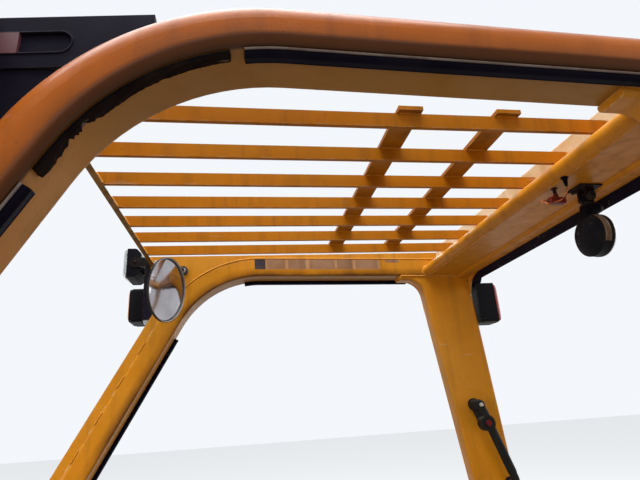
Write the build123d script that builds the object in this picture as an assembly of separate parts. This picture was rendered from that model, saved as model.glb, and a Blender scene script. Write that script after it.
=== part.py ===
from build123d import *
import os
from math import atan2, cos, degrees, hypot, radians, sin, sqrt, tan

os.makedirs("parts", exist_ok=True)

# Overhead guard of a counterbalance lift truck: two bent side hoops, rear pillars,
# a slatted roof and the lamps, mirror, grab handle and door seals that it carries.
# Millimetres. X points forward, Y to the left, Z up, and Z is 0 under the feet.
# Stations along X are measured from a plane in the door opening. The finished pieces
# are moved along X at the end, so that the origin is the middle of the box's floor.

# Overall sizes
GUARD_WIDTH = 1220.0
RAIL_Z = 1428.0

# Side hoop: one bent section that is front leg, raked pillar and side rail
HOOP_WIDTH = 100.0
HOOP_DEPTH = 69.0
LEG_X = 522.0
KNEE_Z = 702.0
CORNER_X = 119.0
RAIL_FALL = 0.02
KNEE_R = 150.0
CORNER_R = 294.0
REAR_X = -816.0
HOOP_OUTER_TOP_R = 36.0
HOOP_OUTER_LOW_R = 14.0
HOOP_INNER_TOP_R = 13.0
HOOP_INNER_LOW_R = 8.0
HOOP_TRIM = 20.0
CUT_OVER = 2.0

# Rear pillar: a pressed box that tapers towards its foot
PILLAR_WIDTH = 56.0
PILLAR_INSET = 2.0
PILLAR_TOP_DEPTH = 183.0
PILLAR_FOOT_DEPTH = 92.0
PILLAR_SWEEP_BACK = 95.0
PILLAR_EDGE_R = 10.0
FLARE_R = 62.0
FLARE_REACH = 78.0
FLARE_LIP = 14.0

# Feet
FOOT_T = 16.0
FOOT_LENGTH = 186.0
FOOT_WIDTH = 130.0
FOOT_SPACING_X = 142.0
FOOT_SPACING_Y = 80.0
FOOT_HOLE_R = 9.0
FOOT_CORNER_R = 14.0

# Roof: slats on edge between the front plate and the rear member, two bars across them
SLAT_RISE = 60.0
SLAT_COUNT = 7
SLAT_SIDE_GAP = 143.9
SLAT_T = 9.0
SLAT_HEIGHT = 28.0
CROSS_T = 8.0
CROSS_END_OVERHANG = 12.0
FRONT_BAR_WIDTH = 46.0
FRONT_BAR_FROM_MEMBER = 381.0
REAR_BAR_WIDTH = 48.0
REAR_BAR_FROM_MEMBER = 189.0
FRONT_PLATE_AHEAD = 185.0
FRONT_PLATE_T = 12.0
FRONT_PLATE_WIDTH = 52.0
FRONT_PLATE_LEAN = 32.4
RIM_RISE = 12.0
WEB_T = 8.0
WEB_FOOT_AHEAD = 150.0
WEB_FOOT_DROP = 150.0
FLANGE_REACH = 22.0
FLANGE_ABOVE_BEND = 40.0

# Rear cross member: a round nose under the slat ends and a box behind it
NOSE_R = 31.0
NOSE_AHEAD = 32.0
MEMBER_DEPTH = 111.0
MEMBER_RISE = 32.0
MEMBER_UNDER_DROP = 48.0
MEMBER_FRONT_R = 6.0
MEMBER_REAR_R = 34.0
LIP_WIDTH = 46.0
LIP_DROP = 10.0
LIP_R = 3.0
CORNER_GUSSET_R = 70.0
CORNER_GUSSET_T = 6.0

# Rear cover and tail lamps
COVER_DEPTH = 46.0
COVER_BELOW_MEMBER_TOP = 12.0
COVER_HEIGHT = 130.0
COVER_R = 16.0
COVER_FIT = 0.5
COVER_END_INSET = 12.0
TAIL_GAP = 6.0
TAIL_OVERLAP_IN = 10.0
TAIL_WIDTH = 92.0
TAIL_HEIGHT = 142.0
TAIL_DEPTH = 68.0
TAIL_LENS_T = 14.0
TAIL_LENS_MARGIN = 5.0
TAIL_CORNER_R = 14.0

# Door seals along the side hoop
SEAL_WIDTH = 19.0
SEAL_HEIGHT = 12.0
SEAL_FROM_OUTSIDE = 14.0
FOAM_HEIGHT = 8.0
SEAL_GAP = 14.0
RAIL_SEAL_SHORT = 216.0
RAIL_SEAL_BACK = 122.0
FOAM_BELOW_BEND = 30.0
FOAM_GAP = 8.0
PILLAR_SEAL_ABOVE_KNEE = 50.0

# Headlamps and turn lamps on the front corners
BRACKET_T = 5.0
BRACKET_AHEAD = 16.0
BRACKET_WIDTH = 132.0
BRACKET_HEIGHT = 224.0
BRACKET_ABOVE_RIM = 2.0
BRACKET_TAB = 84.0
BRACKET_TAB_HEIGHT = 40.0
HEAD_PIVOT_AHEAD = 35.0
HEAD_PIVOT_BELOW_RIM = 14.0
HEAD_HEIGHT = 100.0
HEAD_WIDTH = 112.0
HEAD_BACK = 20.0
HEAD_SHOULDER = 4.0
HEAD_SHOULDER_R = 16.0
HEAD_FRONT = 26.0
HEAD_BACK_HEIGHT = 64.0
HEAD_CORNER_R = 9.0
EAR_GAP = 1.0
EAR_T = 5.0
HEAD_EAR_R = 16.0
PIVOT_PIN_R = 4.0
PIVOT_FIT = 0.05
TURN_GAP = 39.0
TURN_HEIGHT = 110.0
TURN_WIDTH = 112.0
TURN_DEPTH = 36.0
TURN_CORNER_R = 10.0
LENS_MARGIN = 3.0
LENS_EDGE_R = 8.0
HEAD_LENS_T = 14.0
TURN_LENS_T = 14.0
LAMP_WALL = 8.0
HEAD_POCKET = 30.0
TURN_POCKET = 24.0

# Corner covers: mouldings between the roof webs and the hoops' outer faces, with a marker lens
COVER_REAR_BEHIND = 7.0
COVER_REAR_T = 38.0
COVER_FRONT_T = 14.0
COVER_FOOT_DROP = 210.0
RECESS_FROM_REAR = 102.0
RECESS_TO_FRONT = 9.0
RECESS_BELOW_RIM = 25.0
RECESS_HEIGHT = 33.0
RECESS_DEPTH = 4.0
MARKER_LENGTH = 30.0
MARKER_PROUD = 1.5
LEDGE_BELOW_RIM = 80.0
LEDGE_DEPTH = 4.0

# Rear work lamp, left of the middle
WORK_Y = 228.5
WORK_PIVOT_AHEAD = 74.0
WORK_PIVOT_DROP = 24.0
WORK_BELOW_PIVOT = 72.0
WORK_BACK_R = 44.0
WORK_BODY_R = 57.0
WORK_RIM_R = 62.0
WORK_LENGTH = 74.0
WORK_RIM_T = 12.0
WORK_LENS_T = 5.0
WORK_LENS_MARGIN = 4.0
WORK_BOWL_DEPTH = 40.0
WORK_BOWL_BACK_R = 18.0
WORK_TAPER = 16.0
WORK_FIN_COUNT = 5
WORK_FIN_GAP = 5.0
WORK_FIN_PITCH = 10.0
WORK_FIN_DEPTH = 6.0
WORK_LUG_WIDTH = 16.0
WORK_LUG_R = 11.0
WORK_PLATE_LENGTH = 52.0
WORK_PLATE_WIDTH = 44.0
WORK_PLATE_T = 4.0

# Mirror on the right front corner
MIRROR_R = 98.0
MIRROR_AHEAD = 106.0
MIRROR_FROM_WEB = 130.5
MIRROR_BELOW_RAIL = 74.0
MIRROR_AIM = (-0.91, 0.4, -0.1)
MIRROR_DOME = 14.0
MIRROR_SHELL_DEPTH = 30.0
MIRROR_SHELL_R = 62.0
MIRROR_RIM_T = 7.0
MIRROR_RIM_WIDTH = 3.0
MIRROR_SEAT_DEPTH = 5.0
MIRROR_BALL_R = 11.0
MIRROR_BALL_BACK = 45.0
MIRROR_SOCKET_R = 17.0
MIRROR_SOCKET_WRAP = 5.0
MIRROR_FIT = 0.3
MIRROR_ARM_R = 6.0
MIRROR_ARM_BEND_R = 12.0
MIRROR_ARM_OUT = 34.0
MIRROR_NECK = 22.0
MIRROR_BOLT_AHEAD = 80.0
MIRROR_BOLT_ABOVE_RAIL = 20.0
MIRROR_PAD_R = 16.0
MIRROR_PAD_T = 8.0

# Grab handle on the right rear pillar
GRAB_TOP_Z = 966.0
GRAB_LENGTH = 244.0
GRAB_BEHIND_FRONT = 65.7
GRAB_AHEAD_OF_REAR = 21.0
GRAB_R = 12.0
GRAB_STAND = 48.0
GRAB_BEND_R = 26.0
GRAB_PAD_R = 19.0
GRAB_PAD_T = 6.0
BOSS_R = 24.0
BOSS_T = 30.0
BOSS_ALONG = 62.0
BOSS_AHEAD = 8.0
HORN_R = 9.0
HORN_T = 5.0

# Lead of the rear work lamp: it leaves a grommet in the nose and ends in a plug clipped under the nose
LEAD_R = 1.75
LEAD_POINTS = [
    # ahead of the plug's front, left of the plug, above the plug's middle
    (31.0, 27.0, -20.0), (26.0, 8.0, -6.0), (16.0, 0.0, 0.0), (0.0, 0.0, 0.0)]
LEAD_DROPS = [
    # ahead of the grommet, left of it, below it
    (0.0, 0.0, 0.0), (0.0, 0.0, -16.0), (16.0, -12.0, -30.0)]
PLUG_LENGTH = 34.0
PLUG_WIDTH = 16.0
PLUG_HEIGHT = 14.0
PLUG_EDGE_R = 3.0
PLUG_BEHIND_NOSE = 17.0
PLUG_RIGHT_OF_LAMP = 6.5
PLUG_DROP = 8.0
PLUG_CLIP = 8.0
GROMMET_AHEAD = 12.0
GROMMET_LEFT_OF_LAMP = 47.5
GROMMET_R = 5.0
GROMMET_T = 4.0
CORD_ARC_SHARE = 0.45

SLAT_TOP = RAIL_Z + SLAT_RISE
SLAT_UNDER = SLAT_TOP - SLAT_HEIGHT
RIM_Z = SLAT_TOP + RIM_RISE
MEMBER_TOP = SLAT_TOP + MEMBER_RISE
MEMBER_UNDER = SLAT_UNDER - MEMBER_UNDER_DROP
MEMBER_FRONT_X = REAR_X + MEMBER_DEPTH
NOSE_X = MEMBER_FRONT_X + NOSE_AHEAD
PLATE_X = CORNER_X + FRONT_PLATE_AHEAD
HALF = GUARD_WIDTH / 2
HOOP_IN = HALF - HOOP_WIDTH
PILLAR_IN = HOOP_IN + PILLAR_INSET
PILLAR_OUT = PILLAR_IN + PILLAR_WIDTH
SLAT_PITCH = 2 * (PILLAR_IN - SLAT_SIDE_GAP) / (SLAT_COUNT - 1)
RAKE = atan2(LEG_X - CORNER_X, RAIL_Z - KNEE_Z)
NOSE_Z = SLAT_UNDER - NOSE_R

nodes = {}


def rail_under(x):
    """Height of the side rail's underside at station x."""
    return RAIL_Z - RAIL_FALL * (CORNER_X - x)


PILLAR_HEIGHT = rail_under(REAR_X) - FOOT_T
PILLAR_FOOT_X = REAR_X - PILLAR_SWEEP_BACK
PILLAR_TOP_X = REAR_X + PILLAR_TOP_DEPTH
FLARE_Z = rail_under(PILLAR_TOP_X) - FLARE_LIP


def pillar_rear(z):
    """Station of the rear pillar's rear edge at height z."""
    return PILLAR_FOOT_X + PILLAR_SWEEP_BACK * (z - FOOT_T) / PILLAR_HEIGHT


def pillar_front(z):
    """Station of the rear pillar's front edge at height z, below the flare."""
    foot_front = PILLAR_FOOT_X + PILLAR_FOOT_DEPTH
    return foot_front + (PILLAR_TOP_X - foot_front) * (z - FOOT_T) / (FLARE_Z - FOOT_T)


def panel(points, y_low, y_high, radii=0.0):
    """Plate that lies along XZ: a side outline of (x, z) points, carried from y_low to y_high."""
    corners = [(x, y_low, z) for x, z in points]
    outline = FilletPolyline(*corners, radius=radii, close=True)
    return extrude(make_face(outline), amount=y_high - y_low, dir=(0, 1, 0))


def block(x_range, y_range, z_range):
    """Box between two stations, two widths and two heights."""
    low = [min(r) for r in (x_range, y_range, z_range)]
    size = [abs(r[1] - r[0]) for r in (x_range, y_range, z_range)]
    return Pos(*low) * Box(*size, align=(Align.MIN, Align.MIN, Align.MIN))


def pin_along_y(x, y, z, radius, length):
    """Round bar along Y, centred on a point."""
    return Pos(x, y, z) * Rot(90, 0, 0) * Cylinder(radius, length)


def both_sides(name, left):
    """Store a left-hand piece and its mirror image on the right."""
    nodes["left_" + name] = left
    nodes["right_" + name] = mirror(left, about=Plane.XZ)


def ear_pair(root_x, root_z, tip, ear_r, y_middle, y_inside):
    """Two ears from a plate to a pivot bore. The pivot is at tip (x, z), y_inside is half the gap."""
    pair = []
    for side in (-1, 1):
        y_low, y_high = sorted((y_middle + side * y_inside, y_middle + side * (y_inside + EAR_T)))
        x_range = (root_x, tip[0]) if root_x != tip[0] else (tip[0] - ear_r, tip[0] + ear_r)
        z_range = (root_z, tip[1]) if root_z != tip[1] else (tip[1] - ear_r, tip[1] + ear_r)
        y = (y_low + y_high) / 2
        ear = block(x_range, (y_low, y_high), z_range) + pin_along_y(tip[0], y, tip[1], ear_r, EAR_T)
        pair.append(ear - pin_along_y(tip[0], y, tip[1], PIVOT_PIN_R + PIVOT_FIT, 2 * EAR_T))
    return pair


# Side hoops, bent along their inner edge
rail_end = (REAR_X - HOOP_TRIM, 0, rail_under(REAR_X - HOOP_TRIM))
hoop_route = [(LEG_X, 0, FOOT_T), (LEG_X, 0, KNEE_Z), (CORNER_X, 0, RAIL_Z), rail_end]
hoop_path = Pos(0, HOOP_IN, 0) * FilletPolyline(*hoop_route, radius=[KNEE_R, CORNER_R])
hoop_corners = [
    (LEG_X, HOOP_IN, FOOT_T),
    (LEG_X, HALF, FOOT_T),
    (LEG_X + HOOP_DEPTH, HALF, FOOT_T),
    (LEG_X + HOOP_DEPTH, HOOP_IN, FOOT_T)]
hoop_radii = [HOOP_INNER_LOW_R, HOOP_OUTER_LOW_R, HOOP_OUTER_TOP_R, HOOP_INNER_TOP_R]
hoop_section = make_face(FilletPolyline(*hoop_corners, radius=hoop_radii, close=True))
hoop_end = block((REAR_X - HOOP_DEPTH, REAR_X), (HOOP_IN - CUT_OVER, HALF + CUT_OVER), (KNEE_Z, MEMBER_TOP))
both_sides("hoop", sweep(hoop_section, path=hoop_path) - hoop_end)

# Rear pillars with the flare that rounds the door opening's corner
flare_end_x = PILLAR_TOP_X + FLARE_REACH
pillar_outline = [
    (flare_end_x, rail_under(flare_end_x)),
    (REAR_X, rail_under(REAR_X)),
    (PILLAR_FOOT_X, FOOT_T),
    (PILLAR_FOOT_X + PILLAR_FOOT_DEPTH, FOOT_T),
    (PILLAR_TOP_X, FLARE_Z),
    (flare_end_x, FLARE_Z + RAIL_FALL * FLARE_REACH)]
pillar = panel(pillar_outline, PILLAR_IN, PILLAR_OUT, [0, 0, 0, 0, FLARE_R, 0])
pillar_sides = [
    e for e in pillar.edges()
    if abs(e.tangent_at(0.5).Y) < 0.01
    and FOOT_T + 1 < e.center().Z < FLARE_Z + FLARE_LIP / 2
    and e.length > FLARE_LIP]
both_sides("rear_pillar", fillet(pillar_sides, PILLAR_EDGE_R))

# Feet, each with four bolt holes
front_foot_x = LEG_X + HOOP_DEPTH / 2
front_foot_y = HALF - HOOP_WIDTH / 2
rear_foot_x = PILLAR_FOOT_X + PILLAR_FOOT_DEPTH / 2
rear_foot_y = PILLAR_IN + PILLAR_WIDTH / 2
foot = Box(FOOT_LENGTH, FOOT_WIDTH, FOOT_T, align=(Align.CENTER, Align.CENTER, Align.MIN))
foot = fillet(foot.edges().filter_by(Axis.Z), FOOT_CORNER_R)
for place in GridLocations(FOOT_SPACING_X, FOOT_SPACING_Y, 2, 2):
    foot -= place * Cylinder(FOOT_HOLE_R, 4 * FOOT_T)
both_sides("front_foot", Pos(front_foot_x, front_foot_y, 0) * foot)
both_sides("rear_foot", Pos(rear_foot_x, rear_foot_y, 0) * foot)

# Roof side webs: sheets between the roof's rim and the hoop's curved back
plate_lean = radians(FRONT_PLATE_LEAN)
rim_x = PLATE_X + RIM_RISE * tan(plate_lean)
web_foot = (CORNER_X + WEB_FOOT_AHEAD, RAIL_Z - WEB_FOOT_DROP)
web_blank = panel(
    [(rim_x, RIM_Z), (MEMBER_FRONT_X, RIM_Z), (MEMBER_FRONT_X, RAIL_Z - HOOP_DEPTH),
     (web_foot[0] - HOOP_DEPTH, web_foot[1] - HOOP_DEPTH), web_foot],
    PILLAR_IN, PILLAR_IN + WEB_T)
web = max((web_blank - nodes["left_hoop"]).solids(), key=lambda s: s.center().Z)
both_sides("roof_web", web)

# Front plate, edge on to the operator's view
plate_mid_z = (SLAT_TOP + SLAT_UNDER) / 2
plate_mid_x = PLATE_X - (SLAT_TOP - plate_mid_z) * tan(plate_lean)
nodes["front_plate"] = Pos(plate_mid_x, 0, plate_mid_z) * Rot(0, FRONT_PLATE_LEAN, 0) * Box(
    FRONT_PLATE_T, 2 * PILLAR_IN, FRONT_PLATE_WIDTH, align=(Align.MIN, Align.CENTER, Align.CENTER))

# Slats on edge from the front plate to the rear member
slat_outline = [
    (PLATE_X, SLAT_TOP), (MEMBER_FRONT_X, SLAT_TOP),
    (MEMBER_FRONT_X, SLAT_UNDER), (PLATE_X - SLAT_HEIGHT * tan(plate_lean), SLAT_UNDER)]
outer_slat_y = (SLAT_COUNT - 1) / 2 * SLAT_PITCH
for i in range(SLAT_COUNT):
    y = i * SLAT_PITCH - outer_slat_y
    nodes[f"roof_slat_{i + 1}"] = panel(slat_outline, y - SLAT_T / 2, y + SLAT_T / 2)

# Cross bars that lie on the slats
CROSS_BARS = [
    # name, front edge ahead of the member, width
    ("front_cross_bar", FRONT_BAR_FROM_MEMBER + FRONT_BAR_WIDTH, FRONT_BAR_WIDTH),
    ("rear_cross_bar", REAR_BAR_FROM_MEMBER + REAR_BAR_WIDTH, REAR_BAR_WIDTH)]
cross_half = outer_slat_y + SLAT_T / 2 + CROSS_END_OVERHANG
for name, ahead, width in CROSS_BARS:
    bar_x = MEMBER_FRONT_X + ahead
    nodes[name] = block((bar_x - width, bar_x), (-cross_half, cross_half), (SLAT_TOP, SLAT_TOP + CROSS_T))

# Rear cross member: nose, box with its lip, and rounded gussets at the pillars
nose = pin_along_y(NOSE_X, 0, NOSE_Z, NOSE_R, 2 * HOOP_IN)
lip_x = REAR_X + LIP_WIDTH
lip_z = MEMBER_UNDER - LIP_DROP
member_box = panel(
    [(NOSE_X, SLAT_UNDER), (MEMBER_FRONT_X, SLAT_UNDER), (MEMBER_FRONT_X, MEMBER_TOP), (REAR_X, MEMBER_TOP),
     (REAR_X, lip_z), (lip_x, lip_z), (lip_x, MEMBER_UNDER), (NOSE_X, MEMBER_UNDER)],
    -HOOP_IN, HOOP_IN, [0, 0, MEMBER_FRONT_R, MEMBER_REAR_R, 0, LIP_R, 0, 0])
gusset_low = lip_z - CORNER_GUSSET_R
gusset_y = HOOP_IN - CORNER_GUSSET_R
gusset = block((REAR_X, REAR_X + CORNER_GUSSET_T), (gusset_y, HOOP_IN), (gusset_low, MEMBER_UNDER))
gusset -= Pos(REAR_X, gusset_y, gusset_low) * Rot(0, 90, 0) * Cylinder(CORNER_GUSSET_R, 4 * CORNER_GUSSET_T)
nodes["rear_member"] = nose + member_box + gusset + mirror(gusset, about=Plane.XZ)

# Rear cover behind the member, with a tail lamp under each end
cover_top = MEMBER_TOP - COVER_BELOW_MEMBER_TOP
cover_bottom = cover_top - COVER_HEIGHT
cover_y = HALF - COVER_END_INSET
cover = block((REAR_X - COVER_DEPTH, REAR_X), (-cover_y, cover_y), (cover_bottom, cover_top))
pocket_x = (pillar_rear(cover_bottom) - COVER_FIT, REAR_X + CUT_OVER)
pocket_z = (cover_bottom - CUT_OVER, rail_under(REAR_X) + COVER_FIT)
for low, high in ((PILLAR_IN, PILLAR_OUT), (-PILLAR_OUT, -PILLAR_IN)):
    cover -= block(pocket_x, (low - COVER_FIT, high + COVER_FIT), pocket_z)
nodes["rear_cover"] = fillet(cover.edges().filter_by(Axis.Y).group_by(Axis.X)[0], COVER_R)
tail_y = (PILLAR_IN - TAIL_OVERLAP_IN, PILLAR_IN - TAIL_OVERLAP_IN + TAIL_WIDTH)
tail_z = (cover_bottom - TAIL_HEIGHT, cover_bottom)
tail_front = pillar_rear(tail_z[0]) - TAIL_GAP
tail_back = tail_front - TAIL_DEPTH
tail_body = block((tail_back, tail_front), tail_y, tail_z)
both_sides("tail_lamp_body", fillet(tail_body.edges().filter_by(Axis.X).group_by(Axis.Z)[0], TAIL_CORNER_R))
tail_lens = block(
    (tail_back - TAIL_LENS_T, tail_back),
    (tail_y[0] + TAIL_LENS_MARGIN, tail_y[1] - TAIL_LENS_MARGIN),
    (tail_z[0] + TAIL_LENS_MARGIN, tail_z[1] - TAIL_LENS_MARGIN))
both_sides("tail_lamp_lens", fillet(tail_lens.edges().group_by(Axis.X)[0], TAIL_LENS_MARGIN))

# Door seals: a strip down the raked pillar, foam round the left corner, a strip along the rail
seal_y = (HALF - SEAL_FROM_OUTSIDE - SEAL_WIDTH, HALF - SEAL_FROM_OUTSIDE)
rake_dir = (-sin(RAKE), cos(RAKE))
tangent = CORNER_R * tan((radians(90) - RAKE + atan2(RAIL_FALL, 1)) / 2)
bend_end = (CORNER_X - rake_dir[0] * tangent, RAIL_Z - rake_dir[1] * tangent)


def raked_point(below, outward):
    """Point (x, z) beside the raked pillar: a distance below its bend and one outwards from its inner edge."""
    return (bend_end[0] - rake_dir[0] * below + rake_dir[1] * outward,
            bend_end[1] - rake_dir[1] * below - rake_dir[0] * outward)


def hoop_strip(height):
    """Strip of the seals' width that follows the whole inner edge of the hoop."""
    corners = [(LEG_X, seal_y[0], FOOT_T), (LEG_X, seal_y[1], FOOT_T),
               (LEG_X - height, seal_y[1], FOOT_T), (LEG_X - height, seal_y[0], FOOT_T)]
    return sweep(make_face(Polyline(*corners, close=True)), path=hoop_path)


def raked_piece(strip, from_below, to_below):
    """Piece of a strip between two distances below the bend."""
    ends = [raked_point(from_below, -HOOP_DEPTH), raked_point(from_below, HOOP_DEPTH),
            raked_point(to_below, HOOP_DEPTH), raked_point(to_below, -HOOP_DEPTH)]
    return strip & panel(ends, HOOP_IN, HALF)


seal_whole = hoop_strip(SEAL_HEIGHT)
rail_seal_front = CORNER_X - RAIL_SEAL_BACK
rail_z = (RAIL_Z - HOOP_DEPTH, RAIL_Z + HOOP_DEPTH)
both_sides("rail_seal", seal_whole & block((REAR_X + RAIL_SEAL_SHORT, rail_seal_front), (HOOP_IN, HALF), rail_z))
pillar_seal_end = (bend_end[1] - KNEE_Z - PILLAR_SEAL_ABOVE_KNEE) / rake_dir[1]
both_sides("pillar_seal", raked_piece(seal_whole, FOAM_BELOW_BEND + SEAL_GAP, pillar_seal_end))
foam_region = panel(
    [raked_point(FOAM_BELOW_BEND, -HOOP_DEPTH), raked_point(FOAM_BELOW_BEND, HOOP_DEPTH),
     (LEG_X, RAIL_Z + HOOP_DEPTH), (rail_seal_front + FOAM_GAP, RAIL_Z + HOOP_DEPTH),
     (rail_seal_front + FOAM_GAP, bend_end[1])], HOOP_IN, HALF)
nodes["left_corner_foam"] = hoop_strip(FOAM_HEIGHT) & foam_region

# Screen flanges: the webs' sheet runs on down the front of the raked pillars
flange_low = (bend_end[1] - KNEE_Z - FLANGE_ABOVE_BEND) / rake_dir[1]
flange_blank = panel(
    [raked_point(-FLANGE_REACH, HOOP_DEPTH / 2), raked_point(-FLANGE_REACH, HOOP_DEPTH + FLANGE_REACH),
     raked_point(flange_low, HOOP_DEPTH + FLANGE_REACH), raked_point(flange_low, HOOP_DEPTH / 2)],
    PILLAR_IN, PILLAR_IN + WEB_T)
flange = flange_blank - nodes["left_hoop"] - nodes["left_roof_web"]
both_sides("screen_flange", max(flange.solids(), key=lambda s: s.volume))

# Front lamp brackets: a tab on the roof web, a plate that stands across and two ears
bracket_in = PILLAR_IN + WEB_T
bracket_x = PLATE_X + BRACKET_AHEAD
bracket_top = RIM_Z + BRACKET_ABOVE_RIM
plate_face_x = bracket_x + BRACKET_T
head_y = bracket_in + BRACKET_WIDTH / 2
head_x = plate_face_x + HEAD_PIVOT_AHEAD
head_z = RIM_Z - HEAD_PIVOT_BELOW_RIM
bracket = block((bracket_x, plate_face_x), (bracket_in, bracket_in + BRACKET_WIDTH),
                (bracket_top - BRACKET_HEIGHT, bracket_top))
bracket += block((bracket_x - BRACKET_TAB, bracket_x), (bracket_in, bracket_in + BRACKET_T),
                 (RIM_Z - BRACKET_TAB_HEIGHT, RIM_Z))
for ear in ear_pair(plate_face_x, head_z, (head_x, head_z), HEAD_EAR_R, head_y, HEAD_WIDTH / 2 + EAR_GAP):
    bracket += ear
both_sides("headlamp_bracket", bracket)

# Corner covers outside the roof webs, thicker at the rear, with a long recess, a marker lens and a ledge
cover_rear = CORNER_X - COVER_REAR_BEHIND
cover_plan = [
    (cover_rear, bracket_in, 0), (bracket_x, bracket_in, 0),
    (bracket_x, bracket_in + COVER_FRONT_T, 0), (cover_rear, bracket_in + COVER_REAR_T, 0)]
cover_slab = extrude(make_face(Polyline(*cover_plan, close=True)), amount=RIM_Z, dir=(0, 0, 1))
cover_side = [
    (cover_rear, RIM_Z), (bracket_x, RIM_Z), (bracket_x, RIM_Z - COVER_FOOT_DROP),
    (cover_rear, RIM_Z - COVER_FOOT_DROP)]
corner_cover = cover_slab & panel(cover_side, bracket_in, HALF)
corner_cover -= block(
    (bracket_x - BRACKET_TAB - COVER_FIT, bracket_x), (bracket_in, bracket_in + BRACKET_T + COVER_FIT),
    (RIM_Z - BRACKET_TAB_HEIGHT - COVER_FIT, RIM_Z))
cover_slope = atan2(COVER_REAR_T - COVER_FRONT_T, bracket_x - cover_rear)
recess_top = RIM_Z - RECESS_BELOW_RIM
recess_low = recess_top - RECESS_HEIGHT


def on_cover(from_rear, to_front, z_low, z_high, depth, proud):
    """Block along the cover's slanting outer face, from a depth inside it to a height above it."""
    length = (bracket_x - cover_rear - from_rear - to_front) / cos(cover_slope)
    start = (cover_rear + from_rear, bracket_in + COVER_REAR_T - from_rear * tan(cover_slope), z_low)
    slab = Pos(0, -depth, 0) * Box(length, depth + proud, z_high - z_low, align=(Align.MIN, Align.MIN, Align.MIN))
    return Pos(*start) * Rot(0, 0, -degrees(cover_slope)) * slab


recess = on_cover(RECESS_FROM_REAR, RECESS_TO_FRONT, recess_low, recess_top, RECESS_DEPTH, HOOP_DEPTH)
corner_cover -= recess
ledge_z = RIM_Z - LEDGE_BELOW_RIM
corner_cover -= on_cover(0, 0, ledge_z - COVER_FOOT_DROP, ledge_z, LEDGE_DEPTH, HOOP_DEPTH)
corner_cover = max((corner_cover - nodes["left_hoop"]).solids(), key=lambda s: s.volume)
both_sides("corner_cover", corner_cover)
marker_rear = bracket_x - cover_rear - RECESS_TO_FRONT - MARKER_LENGTH
both_sides("marker_lens", on_cover(marker_rear, RECESS_TO_FRONT, recess_low, recess_top, RECESS_DEPTH, MARKER_PROUD))

# Headlamp bodies that tilt between the ears, and their lenses
half_high = HEAD_HEIGHT / 2
back_high = HEAD_BACK_HEIGHT / 2
head_outline = [
    (head_x - HEAD_BACK, head_z - back_high), (head_x - HEAD_SHOULDER, head_z - half_high),
    (head_x + HEAD_FRONT, head_z - half_high), (head_x + HEAD_FRONT, head_z + half_high),
    (head_x - HEAD_SHOULDER, head_z + half_high), (head_x - HEAD_BACK, head_z + back_high)]
head_body = panel(head_outline, head_y - HEAD_WIDTH / 2, head_y + HEAD_WIDTH / 2,
                  [HEAD_CORNER_R, HEAD_SHOULDER_R, 0, 0, HEAD_SHOULDER_R, HEAD_CORNER_R])
head_body += pin_along_y(head_x, head_y, head_z, PIVOT_PIN_R, HEAD_WIDTH + 2 * (EAR_GAP + EAR_T))
head_front = head_x + HEAD_FRONT
head_inside = (HEAD_WIDTH / 2 - LAMP_WALL, half_high - LAMP_WALL)
head_body -= block((head_front - HEAD_POCKET, head_front + CUT_OVER),
                   (head_y - head_inside[0], head_y + head_inside[0]),
                   (head_z - head_inside[1], head_z + head_inside[1]))
both_sides("headlamp_body", head_body)


def lens_on(face_x, depth, y_middle, z_middle, width, height):
    """Lens with a rounded front rim, a margin smaller than the housing that it closes."""
    lens = block(
        (face_x, face_x + depth),
        (y_middle - width / 2 + LENS_MARGIN, y_middle + width / 2 - LENS_MARGIN),
        (z_middle - height / 2 + LENS_MARGIN, z_middle + height / 2 - LENS_MARGIN))
    return fillet(lens.edges().group_by(Axis.X)[-1], LENS_EDGE_R)


both_sides("headlamp_lens", lens_on(head_front, HEAD_LENS_T, head_y, head_z, HEAD_WIDTH, HEAD_HEIGHT))

# Turn lamps below the headlamps
turn_z = head_z - half_high - TURN_GAP - TURN_HEIGHT / 2
turn_front = plate_face_x + TURN_DEPTH
turn_body = block((plate_face_x, turn_front), (head_y - TURN_WIDTH / 2, head_y + TURN_WIDTH / 2),
                  (turn_z - TURN_HEIGHT / 2, turn_z + TURN_HEIGHT / 2))
turn_body = fillet(turn_body.edges().filter_by(Axis.X), TURN_CORNER_R)
turn_inside = (TURN_WIDTH / 2 - LAMP_WALL, TURN_HEIGHT / 2 - LAMP_WALL)
turn_body -= block((turn_front - TURN_POCKET, turn_front + CUT_OVER),
                   (head_y - turn_inside[0], head_y + turn_inside[0]),
                   (turn_z - turn_inside[1], turn_z + turn_inside[1]))
both_sides("turn_lamp_body", turn_body)
both_sides("turn_lamp_lens", lens_on(turn_front, TURN_LENS_T, head_y, turn_z, TURN_WIDTH, TURN_HEIGHT))

# Rear work lamp: bracket under the member, finned body turned on a lathe, lens
work_x = REAR_X + WORK_PIVOT_AHEAD
work_pivot_z = MEMBER_UNDER - WORK_PIVOT_DROP
work_z = work_pivot_z - WORK_BELOW_PIVOT
work_gap = WORK_LUG_WIDTH / 2 + EAR_GAP
plate_under = MEMBER_UNDER - WORK_PLATE_T
work_plate_y = (WORK_Y - WORK_PLATE_WIDTH / 2, WORK_Y + WORK_PLATE_WIDTH / 2)
work_plate_x = (lip_x + COVER_FIT, work_x + WORK_PLATE_LENGTH / 2)
work_bracket = block(work_plate_x, work_plate_y, (plate_under, MEMBER_UNDER))
for ear in ear_pair(work_x, plate_under, (work_x, work_pivot_z), WORK_LUG_R, WORK_Y, work_gap):
    work_bracket += ear
nodes["work_lamp_bracket"] = work_bracket
work_back = work_x + WORK_LENGTH / 2
work_front = work_back - WORK_LENGTH
profile = [(work_back, 0), (work_back, WORK_BACK_R), (work_back - WORK_TAPER, WORK_BODY_R)]
groove = work_back - WORK_TAPER - WORK_FIN_GAP
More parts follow.
